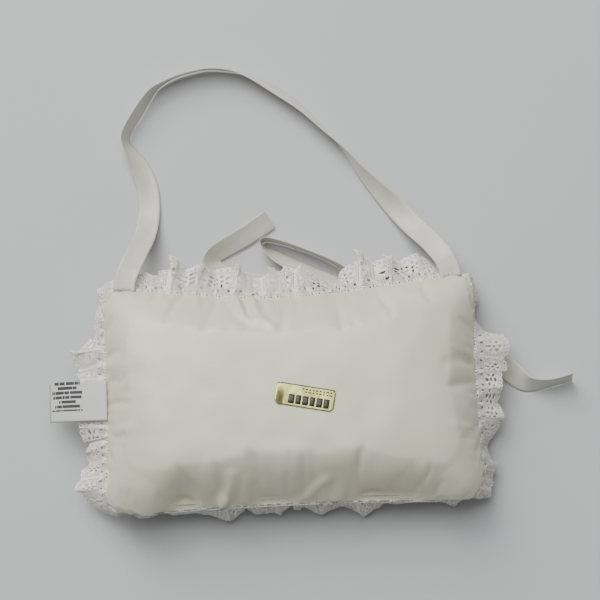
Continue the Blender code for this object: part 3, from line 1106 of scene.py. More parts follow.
@dataclass
class FibreFilling:
    """The fibre inside the cover."""

    form: PillowForm
    finishes: Finishes
    inset: float = 0.0060
    less: float = 0.0078
    cells: tuple[int, int] = (60, 38)
    lump: float = 0.0006
    lump_scale: float = 130.0

    def build(self) -> bpy.types.Object:
        """Make the filling.

        Returns:
            The piece.
        """
        form = self.form.half(Side.BACK, self.cells, self.inset, self.less)
        join_lower_half(form, self.form.half(Side.FRONT, self.cells, self.inset, self.less))
        for vert in form.verts:
            vert.co -= vert.normal * (self.lump * (1 + noise.noise(vert.co * self.lump_scale)))
        piece = link_mesh("fibre_fill", form, self.finishes.fibre)
        refine(piece)
        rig.ride(piece, "pillow")
        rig.replaces(piece, "fibre_filling")
        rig.slot(piece, "polyester_fibre")
        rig.padded(piece, fill=0.8)
        return piece


# ---- Lace -------------------------------------------------------------------------------------
class Weave(Enum):
    """What a place of the flat lace is made of."""

    HOLE = 0
    NET = 1
    DENSE = 2


@dataclass
class LacePattern:
    """The lace laid flat: heading, sheer net, one flower in each scallop and a picot edge."""

    scallop: float = 0.0120
    width: float = 0.0185
    scallop_depth: float = 0.0026
    heading: float = 0.0036
    flower_at: float = 0.0118
    flower_radius: float = 0.0043
    petals: int = 6
    petal_waist: float = 0.72
    petal_gap: tuple[float, float] = (0.0017, 0.0031)
    petal_gap_share: float = 0.34
    eye_radius: float = 0.0007
    stem: float = 0.0004
    leaf_length: float = 0.0032
    leaf_width: float = 0.0011
    leaf_at: float = 0.0012
    slot_pitch: float = 0.0024
    slot_at: float = 0.0030
    slot_radius: float = 0.00042
    eyelet_at: tuple[float, float] = (0.0026, 0.0062)
    eyelet_radius: float = 0.0009
    border: float = 0.0017
    beads: int = 7
    bead_in: float = 0.00105
    bead_radius: float = 0.00034
    picots: int = 6
    picot_height: float = 0.0007

    def edge(self, along: float) -> float:
        """Find the width of the strip, with its scallop and picots.

        Args:
            along: the place along the strip.

        Returns:
            The width there.
        """
        lobe = abs(math.sin(math.pi * along / self.scallop))
        picot = 0.5 + 0.5 * math.cos(2 * math.pi * along / (self.scallop / self.picots))
        return self.width - self.scallop_depth * (1 - lobe ** 0.7) + self.picot_height * picot ** 3

    def flower(self, dx: float, dy: float) -> Weave | None:
        """Find the weave of one flower.

        Args:
            dx: how far the place is along from the flower's middle.
            dy: how far it is across.

        Returns:
            The weave, or None outside the flower.
        """
        away, angle = math.hypot(dx, dy), math.atan2(dy, dx)
        if away < self.eye_radius:
            return Weave.HOLE
        petal = 0.5 + 0.5 * math.cos(self.petals * angle)
        rim = self.flower_radius * (self.petal_waist + (1 - self.petal_waist) * petal ** 0.5)
        if away > rim:
            return None
        between = self.petal_gap[0] < away < self.petal_gap[1] and petal < self.petal_gap_share
        return Weave.HOLE if between else Weave.DENSE

    def leaves(self, dx: float, dy: float) -> bool:
        """Tell whether a place is in the stem or the pair of leaves between two flowers.

        Args:
            dx: how far the place is along from the stem.
            dy: how far it is across from the leaves' root.

        Returns:
            True inside them.
        """
        if abs(dx) < self.stem:
            return True
        for side in (-1, 1):
            along = (dx * side + dy) * DIAGONAL
            across = (dx * side - dy) * DIAGONAL
            if not 0 < along < self.leaf_length:
                continue
            if abs(across) < self.leaf_width * math.sin(math.pi * along / self.leaf_length):
                return True
        return False

    def weave(self, along: float, across: float) -> Weave:
        """Find the weave of any place.

        Args:
            along: the place along the strip.
            across: the place across it, from the heading.

        Returns:
            What the lace is made of there.
        """
        near = ((along / self.slot_pitch) % 1.0 - 0.5) * self.slot_pitch
        if math.hypot(near, across - self.slot_at) < self.slot_radius:
            return Weave.HOLE
        if across < self.heading:
            return Weave.DENSE
        cell = (along / self.scallop) % 1.0 - 0.5
        found = self.flower(cell * self.scallop, across - self.flower_at)
        if found:
            return found
        gap = self.edge(along) - across
        if gap < self.border:
            bead = ((along / (self.scallop / self.beads)) % 1.0 - 0.5) * self.scallop / self.beads
            return Weave.HOLE if math.hypot(bead, gap - self.bead_in) < self.bead_radius else Weave.DENSE
        middle = (along / self.scallop + 0.5) % 1.0 - 0.5
        if self.leaves(middle * self.scallop, across - self.heading - self.leaf_at):
            return Weave.DENSE
        beside = abs(middle) * self.scallop - self.eyelet_at[0]
        if math.hypot(beside, across - self.eyelet_at[1]) < self.eyelet_radius:
            return Weave.HOLE
        return Weave.NET


@dataclass(frozen=True)
class Tuck:
    """A stretch of the seam where the lace is folded under: plan middle and radius in millimetres."""

    x: float
    y: float
    radius: float
    share: float

    def at(self, point: np.ndarray) -> float:
        """How strongly the lace is folded under at a seam point, from 0 to share."""
        away = math.hypot(point[0] / MM - self.x, point[1] / MM - self.y) / self.radius
        return self.share * math.exp(-away * away)


TUCKS = (
    Tuck(82.0, 48.0, 17.0, 0.80), Tuck(-82.0, 44.0, 15.0, 0.70), Tuck(82.0, -26.0, 17.0, 0.50),
    Tuck(82.0, 30.0, 8.0, 0.40), Tuck(20.0, 45.0, 9.0, 0.20), Tuck(-5.0, -50.0, 14.0, 0.3),
    Tuck(-64.0, -51.0, 17.0, 0.85), Tuck(62.0, -50.0, 20.0, 0.85), Tuck(-82.0, -24.0, 7.0, 0.35),
)


@dataclass(frozen=True)
class Swell:
    """A slow change round the seam, so that no two gathers are alike."""

    height: float
    count: int
    start: float

    def at(self, turn: float) -> float:
        """Return the change at an angle round the pillow."""
        return self.height * math.sin(self.count * turn + self.start)


@dataclass
class LaceRuffle:
    """One strip of lace, gathered round the seam."""

    form: PillowForm
    finishes: Finishes
    pattern: LacePattern
    fullness: float = 1.7
    cell: float = 0.00064
    waves: int = 31
    wave_height: float = 0.0038
    fall: float = math.radians(18)
    near_fall: float = math.radians(80)
    tucked_fall: float = math.radians(98)
    heading_in: float = 0.0027
    thickness: float = 0.0003
    stations: int = 2400
    turn_sharpness: float = 1.25
    drift: tuple[Swell, ...] = (Swell(1.5, 5, 0.7), Swell(1.1, 11, 2.1))
    liveliness: tuple[Swell, ...] = (Swell(0.30, 7, 1.3), Swell(0.28, 17, 0.4))
    shortening: Swell = Swell(0.09, 13, 0.9)
    calm_shorter: float = 0.10
    side_lively: float = 0.68
    near_less: float = 0.28
    far_more: float = 0.32
    tucked_less: float = 0.6
    fine_height: float = 0.0005
    fine_at: float = 0.001
    fine_width: float = 0.003
    crest: float = 1.7
    overtone: float = 0.2
    fold_over: float = 0.72
    edge_curl: float = 0.0016
    table_gap: float = 0.0005
    table_wave: float = 0.0004
    leg_at: float = 0.071
    leg_press: tuple[float, float] = (0.005, 0.008)
    tag_press: tuple[float, float] = (0.008, 0.007)
    least_free: float = 0.16
    solid_share: float = 0.75

    def flat_strip(self, length: float) -> bmesh.types.BMesh:
        """The strip laid flat, with its holes cut and their rims rounded.

        Args:
            length: the strip's flat length.

        Returns:
            A bmesh whose X is the place along and Y the place across.
        """
        rows = round(self.pattern.width / self.cell)
        columns = round(length / self.cell)
        form = bmesh.new()
        bmesh.ops.create_grid(form, x_segments=columns, y_segments=rows, size=0.5)
        for vert in form.verts:
            along = (vert.co.x + 0.5) * length
            vert.co = (along, (vert.co.y + 0.5) * self.pattern.edge(along), 0)
        dense = form.loops.layers.float_color.new("dense")
        strip = form.loops.layers.uv.new("strip")
        holes = []
        for face in form.faces:
            centre = face.calc_center_median()
            found = self.pattern.weave(centre.x, centre.y)
            if found is Weave.HOLE:
                holes.append(face)
            solid = 1.0 if found is Weave.DENSE else 0.0
            for loop in face.loops:
                loop[strip].uv = loop.vert.co.xy
                loop[dense] = (solid, solid, solid, 1.0)
        bmesh.ops.delete(form, geom=holes, context="FACES")
        rims = [v for v in form.verts if v.is_boundary and 0 < v.co.x < length]
        inner = [v for v in rims if self.cell < v.co.y < self.pattern.edge(v.co.x) - self.cell / 2]
        for _ in range(2):
            bmesh.ops.smooth_vert(form, verts=inner, factor=0.5, use_axis_x=True, use_axis_y=True)
        return form

    def facing(self, normal: np.ndarray) -> tuple[float, float]:
        """Return how much a stretch of seam faces the near side, and how much the far side."""
        turned = float(normal[1]) * self.turn_sharpness
        return smooth_step(-turned), smooth_step(turned)

    def press(self, x: float, y: float) -> float:
        """Find how free the gathers are at a place in plan.

        Args:
            x: the place along the pillow.
            y: the place across it.

        Returns:
            1 where they stand up, less under the tag and the ribbon's two legs.
        """
        low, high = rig.box("content_tag")
        tag = smooth_step((abs(y - (low.y + high.y) / 2) - self.tag_press[0]) / self.tag_press[1])
        tag = tag if x < -0.9 * self.form.half_length else 1.0
        legs = min(abs(x - side * self.leg_at) for side in (-1, 1))
        ribbon = smooth_step((legs - self.leg_press[0]) / self.leg_press[1])
        ribbon = ribbon if y > 0.8 * self.form.half_depth else 1.0
        return self.least_free + (1 - self.least_free) * min(tag, ribbon)

    def gather(self, form: bmesh.types.BMesh, length: float) -> None:
        """Fold the flat strip round the seam line.

        Args:
            form: the flat strip, whose points are moved.
            length: the strip's flat length.
        """
        count = self.stations
        points, normals, _ = self.form.seam(count)
        shift = count * 3 // 4
        depth = self.pattern.width - self.heading_in
        for vert in form.verts:
            share = vert.co.x / length
            reach = vert.co.y - self.heading_in
            place = (share * count + shift) % count
            low = int(place) % count
            mix = place - int(place)
            point = points[low] * (1 - mix) + points[(low + 1) % count] * mix
            normal = normals[low] * (1 - mix) + normals[(low + 1) % count] * mix
            tangent = np.array([-normal[1], normal[0]])
            turn = 2 * math.pi * share
            phase = self.waves * turn + sum(swell.at(turn) for swell in self.drift)
            lively = 1 + sum(swell.at(turn) for swell in self.liveliness)
            near, far = self.facing(normal)
            tuck = min(1.0, sum(tuck.at(point) for tuck in TUCKS))
            lively *= self.press(*point) * (1 - self.tucked_less * tuck)
            lively *= self.side_lively - self.near_less * near + self.far_more * far
            out = max(0.0, reach) / depth
            height = self.wave_height * lively * out ** 0.8
            at_heading = math.exp(-((reach - self.fine_at) / self.fine_width) ** 2)
            fine = self.fine_height * at_heading * math.sin(3 * phase)
            slope = self.fall + (self.near_fall - self.fall) * near
            slope += (self.tucked_fall - slope) * tuck
            shorter = 1 - self.calm_shorter * max(0.0, 1 - lively)
            shorter -= self.shortening.height + self.shortening.at(turn)
            spread = reach * shorter if reach > 0 else reach
            along = spread * math.cos(slope) if reach > 0 else spread
            drop = spread * math.sin(slope) if reach > 0 else 0.0
            crest = math.tanh(self.crest * math.cos(phase)) + self.overtone * math.cos(2 * phase + 1.0)
            rise = height * crest + fine
            side = -self.fold_over * height * math.sin(2 * phase)
            curl = self.edge_curl * out * out * math.sin(phase * 0.5 + 3 * turn)
            plan = point + normal * (along + rise * math.sin(slope) + curl) + tangent * side
            level = self.form.seam_height - drop + rise * math.cos(slope)
            lowest = self.table_gap + self.table_wave * (1 + math.sin(2 * phase + 20 * out))
            vert.co = (plan[0], plan[1], max(lowest, level))

    def build(self) -> bpy.types.Object:
        """Make the ruffle.

        Returns:
            The piece.
        """
        around = self.form.seam(self.stations)[2]
        scallops = round(around * self.fullness / self.pattern.scallop)
        length = scallops * self.pattern.scallop
        form = self.flat_strip(length)
        self.gather(form, length)
        piece = link_mesh("lace_ruffle_gathered", form, self.finishes.lace)
        thicken(piece, self.thickness, 0.0)
        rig.ride(piece, "pillow")
        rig.replaces(piece, "lace_ruffle")
        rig.slot(piece, "lace")
        solid = self.solid_share * self.pattern.width * length
        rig.sheet(piece, flat=(self.pattern.width, length), held="gathered", area=solid)
        LOG.info("lace: %.0f mm of flat strip in %d scallops", length / MM, scallops)
        return piece


# ---- Ribbons ----------------------------------------------------------------------------------
HANGING_ROUTE = (
    (-71.6, 49.6, 19.2, 0), (-71.3, 52.4, 19.4, 0), (-70.7, 55.2, 19.6, 0), (-68.8, 60.0, 19.2, 0),
    (-65.8, 67.5, 15.3, 0), (-62.6, 76.5, 8.2, 0), (-61.0, 85.0, 2.8, 0), (-60.4, 92.1, 1.2, 0),
    (-61.0, 101.0, 1.2, 8), (-63.8, 109.6, 2.2, 24), (-67.6, 116.6, 3.8, 48), (-70.4, 122.6, 4.9, 68),
    (-69.0, 128.2, 5.0, 74), (-63.8, 136.6, 5.2, 74), (-58.6, 144.4, 5.3, 82), (-54.0, 148.6, 5.4, 96),
    (-47.5, 151.8, 5.4, 102), (-40.0, 154.0, 5.4, 104), (-31.8, 155.2, 5.3, 104), (-22.5, 154.2, 5.2, 104),
    (-14.0, 151.4, 5.0, 112), (-2.9, 144.8, 4.7, 122), (11.9, 133.2, 4.8, 118), (21.2, 122.8, 4.9, 108),
    (29.0, 113.4, 5.0, 92), (35.5, 103.8, 5.1, 74), (43.5, 94.2, 4.6, 50), (51.5, 84.8, 4.0, 24),
    (58.2, 76.0, 7.6, 8), (64.5, 67.0, 15.2, 0), (68.8, 60.0, 19.2, 0), (71.1, 55.2, 19.6, 0),
    (71.8, 52.4, 19.4, 0), (72.2, 49.6, 19.2, 0),
)
LOOP_LEFT_ROUTE = (
    (22.2, 52.6, 5.7, 46), (16.0, 55.0, 5.4, 42), (5.0, 60.4, 4.8, 40), (-4.5, 66.2, 4.6, 48),
    (-9.6, 70.2, 5.0, 72), (-10.8, 72.6, 5.2, 86), (-8.2, 73.8, 5.2, 92), (-1.0, 71.9, 5.2, 94),
    (10.0, 67.6, 5.2, 96), (20.0, 62.8, 5.3, 94), (26.2, 58.4, 5.6, 90), (27.4, 55.4, 5.7, 88),
)
LOOP_RIGHT_ROUTE = (
    (31.6, 51.0, 6.2, 88), (40.0, 50.2, 6.2, 88), (50.0, 50.0, 6.2, 88), (57.0, 51.4, 6.2, 88),
    (59.6, 54.4, 6.0, 88), (56.0, 57.0, 5.8, 88), (46.0, 56.6, 5.8, 88), (37.0, 55.0, 6.0, 88),
    (31.6, 53.4, 6.2, 88),
)
TAIL_SHORT_ROUTE = (
    (22.4, 49.8, 1.0, 0), (12.0, 50.8, 0.9, 0), (0.0, 52.2, 0.9, 0), (-13.0, 54.4, 0.9, 0),
    (-25.0, 57.6, 1.4, 4), (-32.6, 62.6, 3.1, 26), (-32.8, 66.8, 3.9, 42), (-28.0, 70.4, 3.9, 38),
    (-18.0, 76.0, 3.4, 30), (-6.4, 83.6, 3.0, 26),
)
TAIL_LONG_ROUTE = (
    (31.6, 47.8, 1.0, 0), (42.0, 46.6, 0.9, 0), (56.0, 44.4, 0.9, 0), (69.0, 38.6, 0.9, 0),
    (78.0, 31.0, 1.0, 0), (86.0, 22.2, 1.2, 0), (94.4, 13.0, 1.6, 8), (100.6, 6.4, 2.6, 30),
    (105.8, 3.0, 4.2, 60), (113.6, 2.9, 5.0, 78), (124.3, 5.2, 5.0, 80),
)


@dataclass
class RibbonRoute:
    """A smooth curve through a ribbon's route points, with its turn about its own length."""

    points: Sequence[tuple[float, float, float, float]]
    steps_between: int = 24

    def stations(self, spacing: float) -> tuple[np.ndarray, np.ndarray, float]:
        """Even stations along the curve.

        Args:
            spacing: the distance between stations.

        Returns:
            Their places, their turns in radians and the whole length.
        """
        rows = np.array(self.points, float)
        rows = np.vstack([2 * rows[0] - rows[1], rows, 2 * rows[-1] - rows[-2]])
        fine = []
        for before, start, end, after in zip(rows, rows[1:], rows[2:], rows[3:]):
            bend = 2 * before - 5 * start + 4 * end - after
            twist = 3 * start - before - 3 * end + after
            for t in np.arange(self.steps_between) / self.steps_between:
                fine.append(start + 0.5 * t * ((end - before) + t * bend + t * t * twist))
        fine = np.array(fine + [rows[-2]])
        steps = np.linalg.norm(np.diff(fine[:, :3], axis=0), axis=1) * MM
        along = np.concatenate([[0], np.cumsum(steps)])
        count = max(4, round(along[-1] / spacing))
        at = np.linspace(0, along[-1], count + 1)
        found = np.column_stack([np.interp(at, along, fine[:, axis]) for axis in range(4)])
        return found[:, :3] * MM, np.radians(found[:, 3]), float(along[-1])


@dataclass
class Ribbon:
    """A length of satin ribbon laid along a route."""

    name: str
    route: RibbonRoute
    finishes: Finishes
    width: float = 0.0095
    thickness: float = 0.00022
    spacing: float = 0.0009
    cells_across: int = 10
    cup: float = 0.0003
    ripple: float = 0.00025
    wander_scale: float = 60.0
    table_gap: float = 0.0002

    def build(self) -> tuple[bpy.types.Object, np.ndarray, float]:
        """Make the strip.

        Returns:
            The piece, the points of its centreline and its length.
        """
        places, turns, length = self.route.stations(self.spacing)
        forward = np.gradient(places, axis=0)
        forward /= np.linalg.norm(forward, axis=1, keepdims=True)
        level = np.cross(np.array([0.0, 0.0, 1.0]), forward)
        level /= np.linalg.norm(level, axis=1, keepdims=True)
        raised = np.cross(forward, level)
        across = level * np.cos(turns)[:, None] + raised * np.sin(turns)[:, None]
        facing = np.cross(forward, across)
        form = bmesh.new()
        count = len(places) - 1
        bmesh.ops.create_grid(form, x_segments=count, y_segments=self.cells_across, size=0.5)
        map_uv(form, "strip", lambda spot: ((spot.x + 0.5) * length, (spot.y + 0.5) * self.width))
        for vert in form.verts:
            station = round((vert.co.x + 0.5) * count)
            side = vert.co.y
            wander = noise.noise(Vector((places[station] * self.wander_scale).tolist()))
            curl = self.cup * (4 * side * side - 0.4) * (1 + wander)
            rise = curl + self.ripple * wander * math.sin(6 * side)
            spot = places[station] + across[station] * side * self.width + facing[station] * rise
            vert.co = (spot[0], spot[1], max(self.table_gap, spot[2]))
        piece = link_mesh(self.name, form, self.finishes.ribbon)
        thicken(piece, self.thickness, 0.0)
        bake_modifiers(piece)
        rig.slot(piece, "satin_ribbon")
        return piece, places, length


@dataclass
class HangingRibbon:
    """The ribbon loop, sewn in at both far corners."""

    finishes: Finishes
    sewn_y: float = 0.0504
    free_y: float = 0.0550
    level: float = 0.0194

    def build(self) -> bpy.types.Object:
        """Make the loop.

        Returns:
            The piece.
        """
        ribbon = Ribbon("hanging_ribbon_loop", RibbonRoute(HANGING_ROUTE), self.finishes)
        piece, path, length = ribbon.build()
        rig.blend(piece, "pillow", "hanging_loop", start=(0, self.sewn_y, self.level),
                 end=(0, self.free_y, self.level))
        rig.replaces(piece, "hanging_ribbon")
        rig.cord(piece, exit=path[0], length=length, diameter=0.0095, far_end="object", stiffness="limp",
                lay="loose", path=path)
        return piece


@dataclass
class FrontBow:
    """The bow under the pillow: its knot, two loops and two tails."""

    finishes: Finishes
    roundness: float = 0.72
    tightness: float = 0.92
    creases: int = 9
    crease_depth: float = 0.05

    def knot(self) -> bpy.types.Object:
        """Make the pinched band of ribbon round the bow's middle.

        Returns:
            The piece.
        """
        low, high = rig.box("bow_knot")
        form = bmesh.new()
        bmesh.ops.create_uvsphere(form, u_segments=36, v_segments=20, radius=0.5)
        lay_down = Matrix.Rotation(math.pi / 2, 3, "Y")
        bmesh.ops.rotate(form, verts=form.verts, cent=(0, 0, 0), matrix=lay_down)
        size = high - low
        for vert in form.verts:
            lean = vert.co.copy()
            belly = (0.25 - min(0.25, lean.x * lean.x)) ** 0.5 * 2
            box = max(abs(lean.y), abs(lean.z), MERGE) / max(lean.yz.length, MERGE)
            crease = 1 + self.crease_depth * math.sin(self.creases * math.atan2(lean.z, lean.y)) * belly
            swell = self.tightness * crease / (self.roundness + (1 - self.roundness) * box)
            vert.co = (lean.x * size.x, lean.y * size.y * swell, lean.z * size.z * swell)
        bmesh.ops.translate(form, vec=(low + high) / 2, verts=form.verts)
        map_uv(form, "strip", lambda spot: (spot.y + spot.z, spot.x))
        piece = link_mesh("bow_knot_wrap", form, self.finishes.ribbon)
        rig.ride(piece, "pillow")
        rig.replaces(piece, "bow_knot")
        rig.slot(piece, "satin_ribbon")
        return piece

    def build(self) -> list[bpy.types.Object]:
        """Make the bow.

        Returns:
            Its knot, loops and tails.
        """
        pieces = [self.knot()]
        for node, route, far in (
            ("bow_loop_left", LOOP_LEFT_ROUTE, "object"),
            ("bow_loop_right", LOOP_RIGHT_ROUTE, "object"),
            ("bow_tail_short", TAIL_SHORT_ROUTE, "bare"),
            ("bow_tail_long", TAIL_LONG_ROUTE, "bare"),
        ):
            piece, path, length = Ribbon(node + "_ribbon", RibbonRoute(route), self.finishes).build()
            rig.ride(piece, "pillow")
            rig.replaces(piece, node)
            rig.cord(piece, exit=path[0], length=length, diameter=0.0095, far_end=far, stiffness="limp",
                    lay="loose", path=path)
            pieces.append(piece)
        return pieces


# ---- Tag, label and thread --------------------------------------------------------------------
@dataclass
class ContentTag:
    """A strip of white cloth folded in two, with both ends in the seam."""

    finishes: Finishes
    cloth: float = 0.00022
    cells: tuple[int, int] = (60, 24)
    fold_gap: float = 0.00085
    extra_reach: float = 0.0015
    root_in: float = 0.0018
    top_under: float = 0.0004
    drop_less: float = 0.0014
    bow: float = 0.0010
    ripple: float = 0.00025
    skew: float = 0.0009

    def build(self) -> bpy.types.Object:
        """Make the tag.

        Returns:
            The piece.
        """
        low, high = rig.box("content_tag")
        width = high.y - low.y
        reach = high.x - low.x + self.extra_reach
        form = bmesh.new()
        bmesh.ops.create_grid(form, x_segments=self.cells[0], y_segments=self.cells[1], size=0.5)
        map_uv(form, "print", lambda spot: (abs(spot.x) * 2, 0.5 - spot.y))
        root = high.x + self.root_in
        top = high.z - self.top_under
        slope = (high.z - low.z - self.drop_less) / reach
        for vert in form.verts:
            side = 1 if vert.co.x >= 0 else -1
            share = 1 - abs(vert.co.x) * 2
            out = reach * share
            apart = self.fold_gap / 2 * math.sqrt(max(0.0, 1 - share ** 10))
            bow = self.bow * (math.sin(math.pi * share) - 0.5 * math.sin(2 * math.pi * share))
            ripple = self.ripple * math.sin(vert.co.y * 7 + share * 4) * share
            y = (low.y + high.y) / 2 + vert.co.y * width + self.skew * share
            z = top - self.fold_gap / 2 - slope * out + side * apart + bow * 0.6 + ripple
            vert.co = (root - out, y, z)
        piece = link_mesh("content_tag_folded", form, self.finishes.tag)
        thicken(piece, self.cloth, 0.0)
        bake_modifiers(piece)
        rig.blend(piece, "pillow", "tag", start=(high.x + 0.0008, 0, high.z),
                 end=(high.x - 0.0022, 0, high.z))
        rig.replaces(piece, "content_tag")
        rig.slot(piece, "tag_cloth")
        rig.sheet(piece, flat=(width, 2 * reach), held="folded")
        return piece


@dataclass
class FoilLabel:
    """A gold foil sticker with plain dark bars."""

    cover: SatinCover
    finishes: Finishes
    length: float = 0.0254
    width: float = 0.0095
    turn: float = math.radians(-11.5)
    cells: tuple[int, int] = (48, 18)
    corner: float = 0.0014
    foil: float = 0.0001
    foil_lift: float = 0.0003
    ink: float = 0.00004
    ink_lift: float = 0.00041
    curl: float = 0.0011
    curl_start: tuple[float, float] = (0.34, 0.6)
    # a dark line drawn along the label's top edge
    top_edge_line: tuple[float, float, float, float] = (0.0, 0.00445, 0.0250, 0.00035)
    rows: tuple[tuple[float, float, float, int], ...] = (
        (0.0032, -0.0020, 0.0115, 9), (0.0020, -0.0005, 0.0115, 8),
    )
    row_width: float = 0.00055
    block_lengths: tuple[float, ...] = (0.0026, 0.0023, 0.0026, 0.0022, 0.0026, 0.0025)
    block_start: tuple[float, float] = (-0.0056, -0.0017)
    block_pitch: float = 0.0030
    block_width: float = 0.0040

    def seat(self, form: bmesh.types.BMesh, lift: float) -> None:
        """Lay a flat plate on the back panel, with one corner curling up.

        Args:
            form: the plate, whose points are moved.
            lift: how far it lies over the satin.
        """
        low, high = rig.box("foil_label")
        middle = (low + high) / 2
        for vert in form.verts:
            along, across = vert.co.x, vert.co.y
            x = middle.x + along * math.cos(self.turn) - across * math.sin(self.turn)
            y = middle.y + along * math.sin(self.turn) + across * math.cos(self.turn)
            end = smooth_step((-along / self.length - self.curl_start[0]) / (0.5 - self.curl_start[0]))
            loose = end * smooth_step(self.curl_start[1] - across / self.width)
            vert.co = (x, y, self.cover.top_at(x, y) + lift + vert.co.z + self.curl * loose)

    def marks(self) -> list[tuple[float, float, float, float]]:
        """Set out a dark line along the top edge, and plain bars in place of print.

        Returns:
            The x and y of each bar's middle, its length and its width.
        """
        bars = [self.top_edge_line]
        for y, start, end, count in self.rows:
            pitch = (end - start) / count
            for step in range(count):
                share = 0.75 if step % 3 == 1 else 0.55
                bars.append((start + pitch * (step + 0.5), y, pitch * share, self.row_width))
        x, y = self.block_start
        for step, length in enumerate(self.block_lengths):
            bars.append((x + self.block_pitch * step, y, length, self.block_width))
        return bars

    def build(self) -> list[bpy.types.Object]:
        """Make the label.

        Returns:
            The foil and its bars.
        """
        form = bmesh.new()
        bmesh.ops.create_grid(form, x_segments=self.cells[0], y_segments=self.cells[1], size=0.5)
        map_uv(form, "print", lambda spot: spot.xy)
        for vert in form.verts:
            along = vert.co.x * self.length
            clipped = max(0.0, self.corner - (self.length / 2 - abs(along)))
            vert.co = (along, vert.co.y * (self.width - 2 * clipped), 0)
        self.seat(form, self.foil_lift)
        foil = link_mesh("foil_label_sticker", form, self.finishes.foil)
        thicken(foil, self.foil, 0.0)
        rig.ride(foil, "pillow")
        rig.replaces(foil, "foil_label")
        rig.slot(foil, "gold_foil")
        bars = bmesh.new()
        for x, y, length, width in self.marks():
            cells = max(2, round(length / MM))
            made = bmesh.ops.create_grid(bars, x_segments=cells, y_segments=3, size=0.5)["verts"]
            bmesh.ops.scale(bars, vec=(length, width, 1), verts=made)
            bmesh.ops.translate(bars, vec=(x, y, 0), verts=made)
        self.seat(bars, self.ink_lift)
        ink = link_mesh("foil_label_bars", bars, self.finishes.ink)
        thicken(ink, self.ink, 0.0)
        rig.ride(ink, "pillow")
        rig.slot(ink, "gold_foil")
        return [foil, ink]


@dataclass
class Stitching:
    """The sewing: seam stitches, the lace's gathering thread, bar tacks and the frame's own threads."""

    form: PillowForm
    finishes: Finishes
    thread: float = 0.00032
    stitch: float = 0.0025
    tack_turns: int = 16
    tack_in: float = 0.0004
    tack_width: float = 0.0018

    def sew(self, name: str, points: Iterable[Sequence[float]], cyclic: bool, node: str) -> bpy.types.Object:
        """Make one thread through points, in place of a thread of the frame.

        Args:
            name: the piece's name.
            points: the thread's points in metres.
            cyclic: whether it closes on itself.
            node: the node it replaces.

        Returns:
            The thread as a mesh.
        """
        points = list(points)
        curve = bpy.data.curves.new(name, "CURVE")
        curve.dimensions = "3D"
        curve.bevel_depth = self.thread / 2
        curve.bevel_resolution = 2
        curve.use_fill_caps = not cyclic
        spline = curve.splines.new("POLY")
        spline.points.add(len(points) - 1)
        for place, point in zip(spline.points, points):
            place.co = (*point, 1.0)
        spline.use_cyclic_u = cyclic
        guide = bpy.data.objects.new(name + "_guide", curve)
        bpy.context.scene.collection.objects.link(guide)
        mesh = evaluated_mesh(guide)
        bpy.data.objects.remove(guide)
        mesh.materials.clear()
        mesh.materials.append(self.finishes.thread)
        mesh.shade_smooth()
        piece = bpy.data.objects.new(name, mesh)
        bpy.context.scene.collection.objects.link(piece)
        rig.ride(piece, "pillow")
        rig.replaces(piece, node)
        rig.slot(piece, "sewing_thread")
        return piece

    def round_seam(self, name: str, node: str, inset: float, level: float, wave: float) -> bpy.types.Object:
        """Make a ring of stitches that follows the seam.

        Args:
            name: the piece's name.
            node: the node it replaces.
            inset: how far inside the seam line it runs.
            level: its height over the seam.
            wave: how much every other stitch is raised.

        Returns:
            The thread.
        """
        count = round(self.form.seam(8)[2] / self.stitch) * 2
        points, normals, _ = self.form.seam(count)
        rows = points - normals * inset
        heights = (self.form.seam_height + level + wave * (step % 2) for step in range(count))
        return self.sew(name, ((x, y, z) for (x, y), z in zip(rows, heights)), True, node)

    def bar_tack(self, side: str) -> bpy.types.Object:
        """Make the close zigzag of thread that holds one end of the hanging ribbon.

        Args:
            side: left or right.

        Returns:
            The thread.
        """
        low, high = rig.box("ribbon_tack_" + side)
        points = []
        for step in range(self.tack_turns + 1):
            x = low.x + (high.x - low.x) * step / self.tack_turns
            uneven = self.tack_in * math.sin(step * 1.9)
            y = high.y - self.tack_in - (0 if step % 2 else self.tack_width) + uneven
            points.append((x, y, high.z - self.thread / 2 - 0.0001 * (step % 3)))
        return self.sew(f"bar_tack_{side}", points, False, "ribbon_tack_" + side)

    def build(self) -> list[bpy.types.Object]:
        """Make the seam's and the ribbon's threads and dress the frame's own.

        Returns:
            All of the threads.
        """
        pieces = [
            self.round_seam("seam_stitches", "seam_thread", inset=0.0022, level=0.0012, wave=0.0003),
            self.round_seam("gathering_stitches", "lace_gathering_thread", inset=-0.0006,
                            level=-0.0009, wave=0.0002),
            self.bar_tack("left"),
            self.bar_tack("right"),
        ]
        for node in ("closing_stitches", "bow_tack_thread"):
            piece = frame["nodes"][node]
            piece.data.materials.clear()
            piece.data.materials.append(self.finishes.thread)
            pieces.append(piece)
        return pieces


# ---- Studio -----------------------------------------------------------------------------------
@dataclass(frozen=True)
class Lamp:
    """A soft square lamp that looks at the pillow."""

    name: str
    place: tuple[float, float, float]
    size: float
    power: float

    def hang(self, target: Vector) -> None:
        """Hang the lamp.

        Args:
            target: the place it looks at.
        """
        data = bpy.data.lights.new(self.name, "AREA")
        data.shape = "SQUARE"
        data.size = self.size
        data.energy = self.power
        lamp = bpy.data.objects.new(self.name, data)
        lamp.location = self.place
        lamp.rotation_euler = (target - Vector(self.place)).to_track_quat("-Z", "Y").to_euler()
        bpy.context.scene.collection.objects.link(lamp)


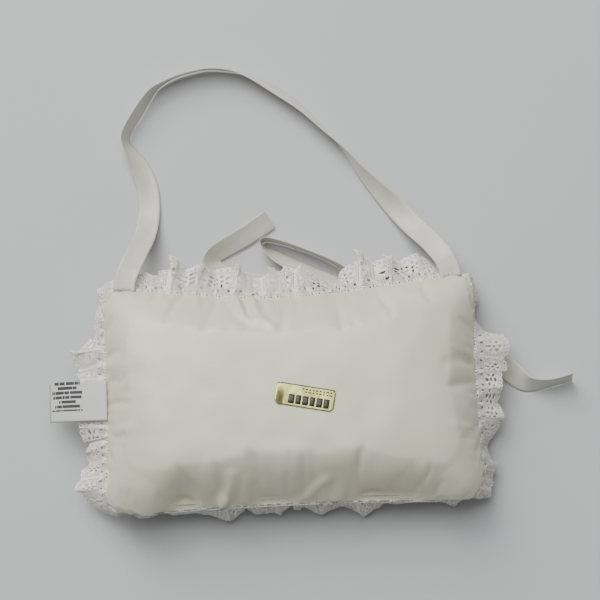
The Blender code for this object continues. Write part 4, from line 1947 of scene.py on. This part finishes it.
@dataclass
class Studio:
    """Table, soft light and camera."""

    elevation: float = math.radians(77)
    heading: float = math.radians(-2.5)
    distance: float = 0.95
    lens: float = 129.0
    aim: tuple[float, float, float] = (0.0055, 0.0437, 0.012)
    lamp_aim: tuple[float, float, float] = (0.0, 0.03, 0.0)
    lamps: tuple[Lamp, ...] = (
        Lamp("key_lamp", (-0.75, 1.40, 1.28), 1.25, 32.0),
        Lamp("top_lamp", (-0.30, 0.62, 1.70), 1.35, 24.0),
    )
    room_colour: tuple[float, float, float, float] = (0.97, 0.98, 1.0, 1.0)
    room_strength: float = 0.22
    table_half: float = 2.5

    def table(self) -> None:
        """Lay the table top."""
        form = bmesh.new()
        bmesh.ops.create_grid(form, x_segments=8, y_segments=8, size=self.table_half)
        top = link_mesh("table_top", form, TableFinish().material("table_top"))
        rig.stage(top)

    def light(self) -> None:
        """Hang the lamps and set the room's fill."""
        for lamp in self.lamps:
            lamp.hang(Vector(self.lamp_aim))
        world = bpy.data.worlds.new("room")
        world.use_nodes = True
        background = world.node_tree.nodes["Background"]
        background.inputs["Color"].default_value = self.room_colour
        background.inputs["Strength"].default_value = self.room_strength
        bpy.context.scene.world = world

    def camera(self) -> None:
        """Place the camera."""
        data = bpy.data.cameras.new("camera")
        data.lens = self.lens
        camera = bpy.data.objects.new("camera", data)
        aim = Vector(self.aim)
        out = math.cos(self.elevation)
        direction = Vector((math.sin(self.heading) * out, -math.cos(self.heading) * out,
                            math.sin(self.elevation)))
        camera.location = aim + direction * self.distance
        camera.rotation_euler = (-direction).to_track_quat("-Z", "Y").to_euler()
        bpy.context.scene.collection.objects.link(camera)
        bpy.context.scene.camera = camera

    def build(self) -> None:
        """Set up the whole studio."""
        self.table()
        self.light()
        self.camera()


def report(made: Iterable[bpy.types.Object]) -> None:
    """Log each piece with the size of its mesh."""
    for piece in made:
        LOG.info("%s: %d faces", piece.name, len(piece.data.polygons))


def main() -> None:
    """Build every piece in order and write the sizes of both models."""
    logging.basicConfig(level=logging.INFO, format="%(name)s %(message)s")
    Studio().build()
    finishes = Finishes()
    form = PillowForm.from_frame()
    report([HangingRibbon(finishes).build()])
    report(FrontBow(finishes).build())
    cover = SatinCover(form, finishes)
    report(cover.build())
    report([FibreFilling(form, finishes).build()])
    report([LaceRuffle(form, finishes, LacePattern()).build()])
    report([ContentTag(finishes).build()])
    report(FoilLabel(cover, finishes).build())
    report(Stitching(form, finishes).build())
    sizes = {"cad": CAD_BOX, "visual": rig.bounds()}
    with open(SIZE_FILE, "w") as out:
        json.dump({name: [[float(x) for x in corner] for corner in box] for name, box in sizes.items()}, out)


if __name__ == "__main__":
    main()
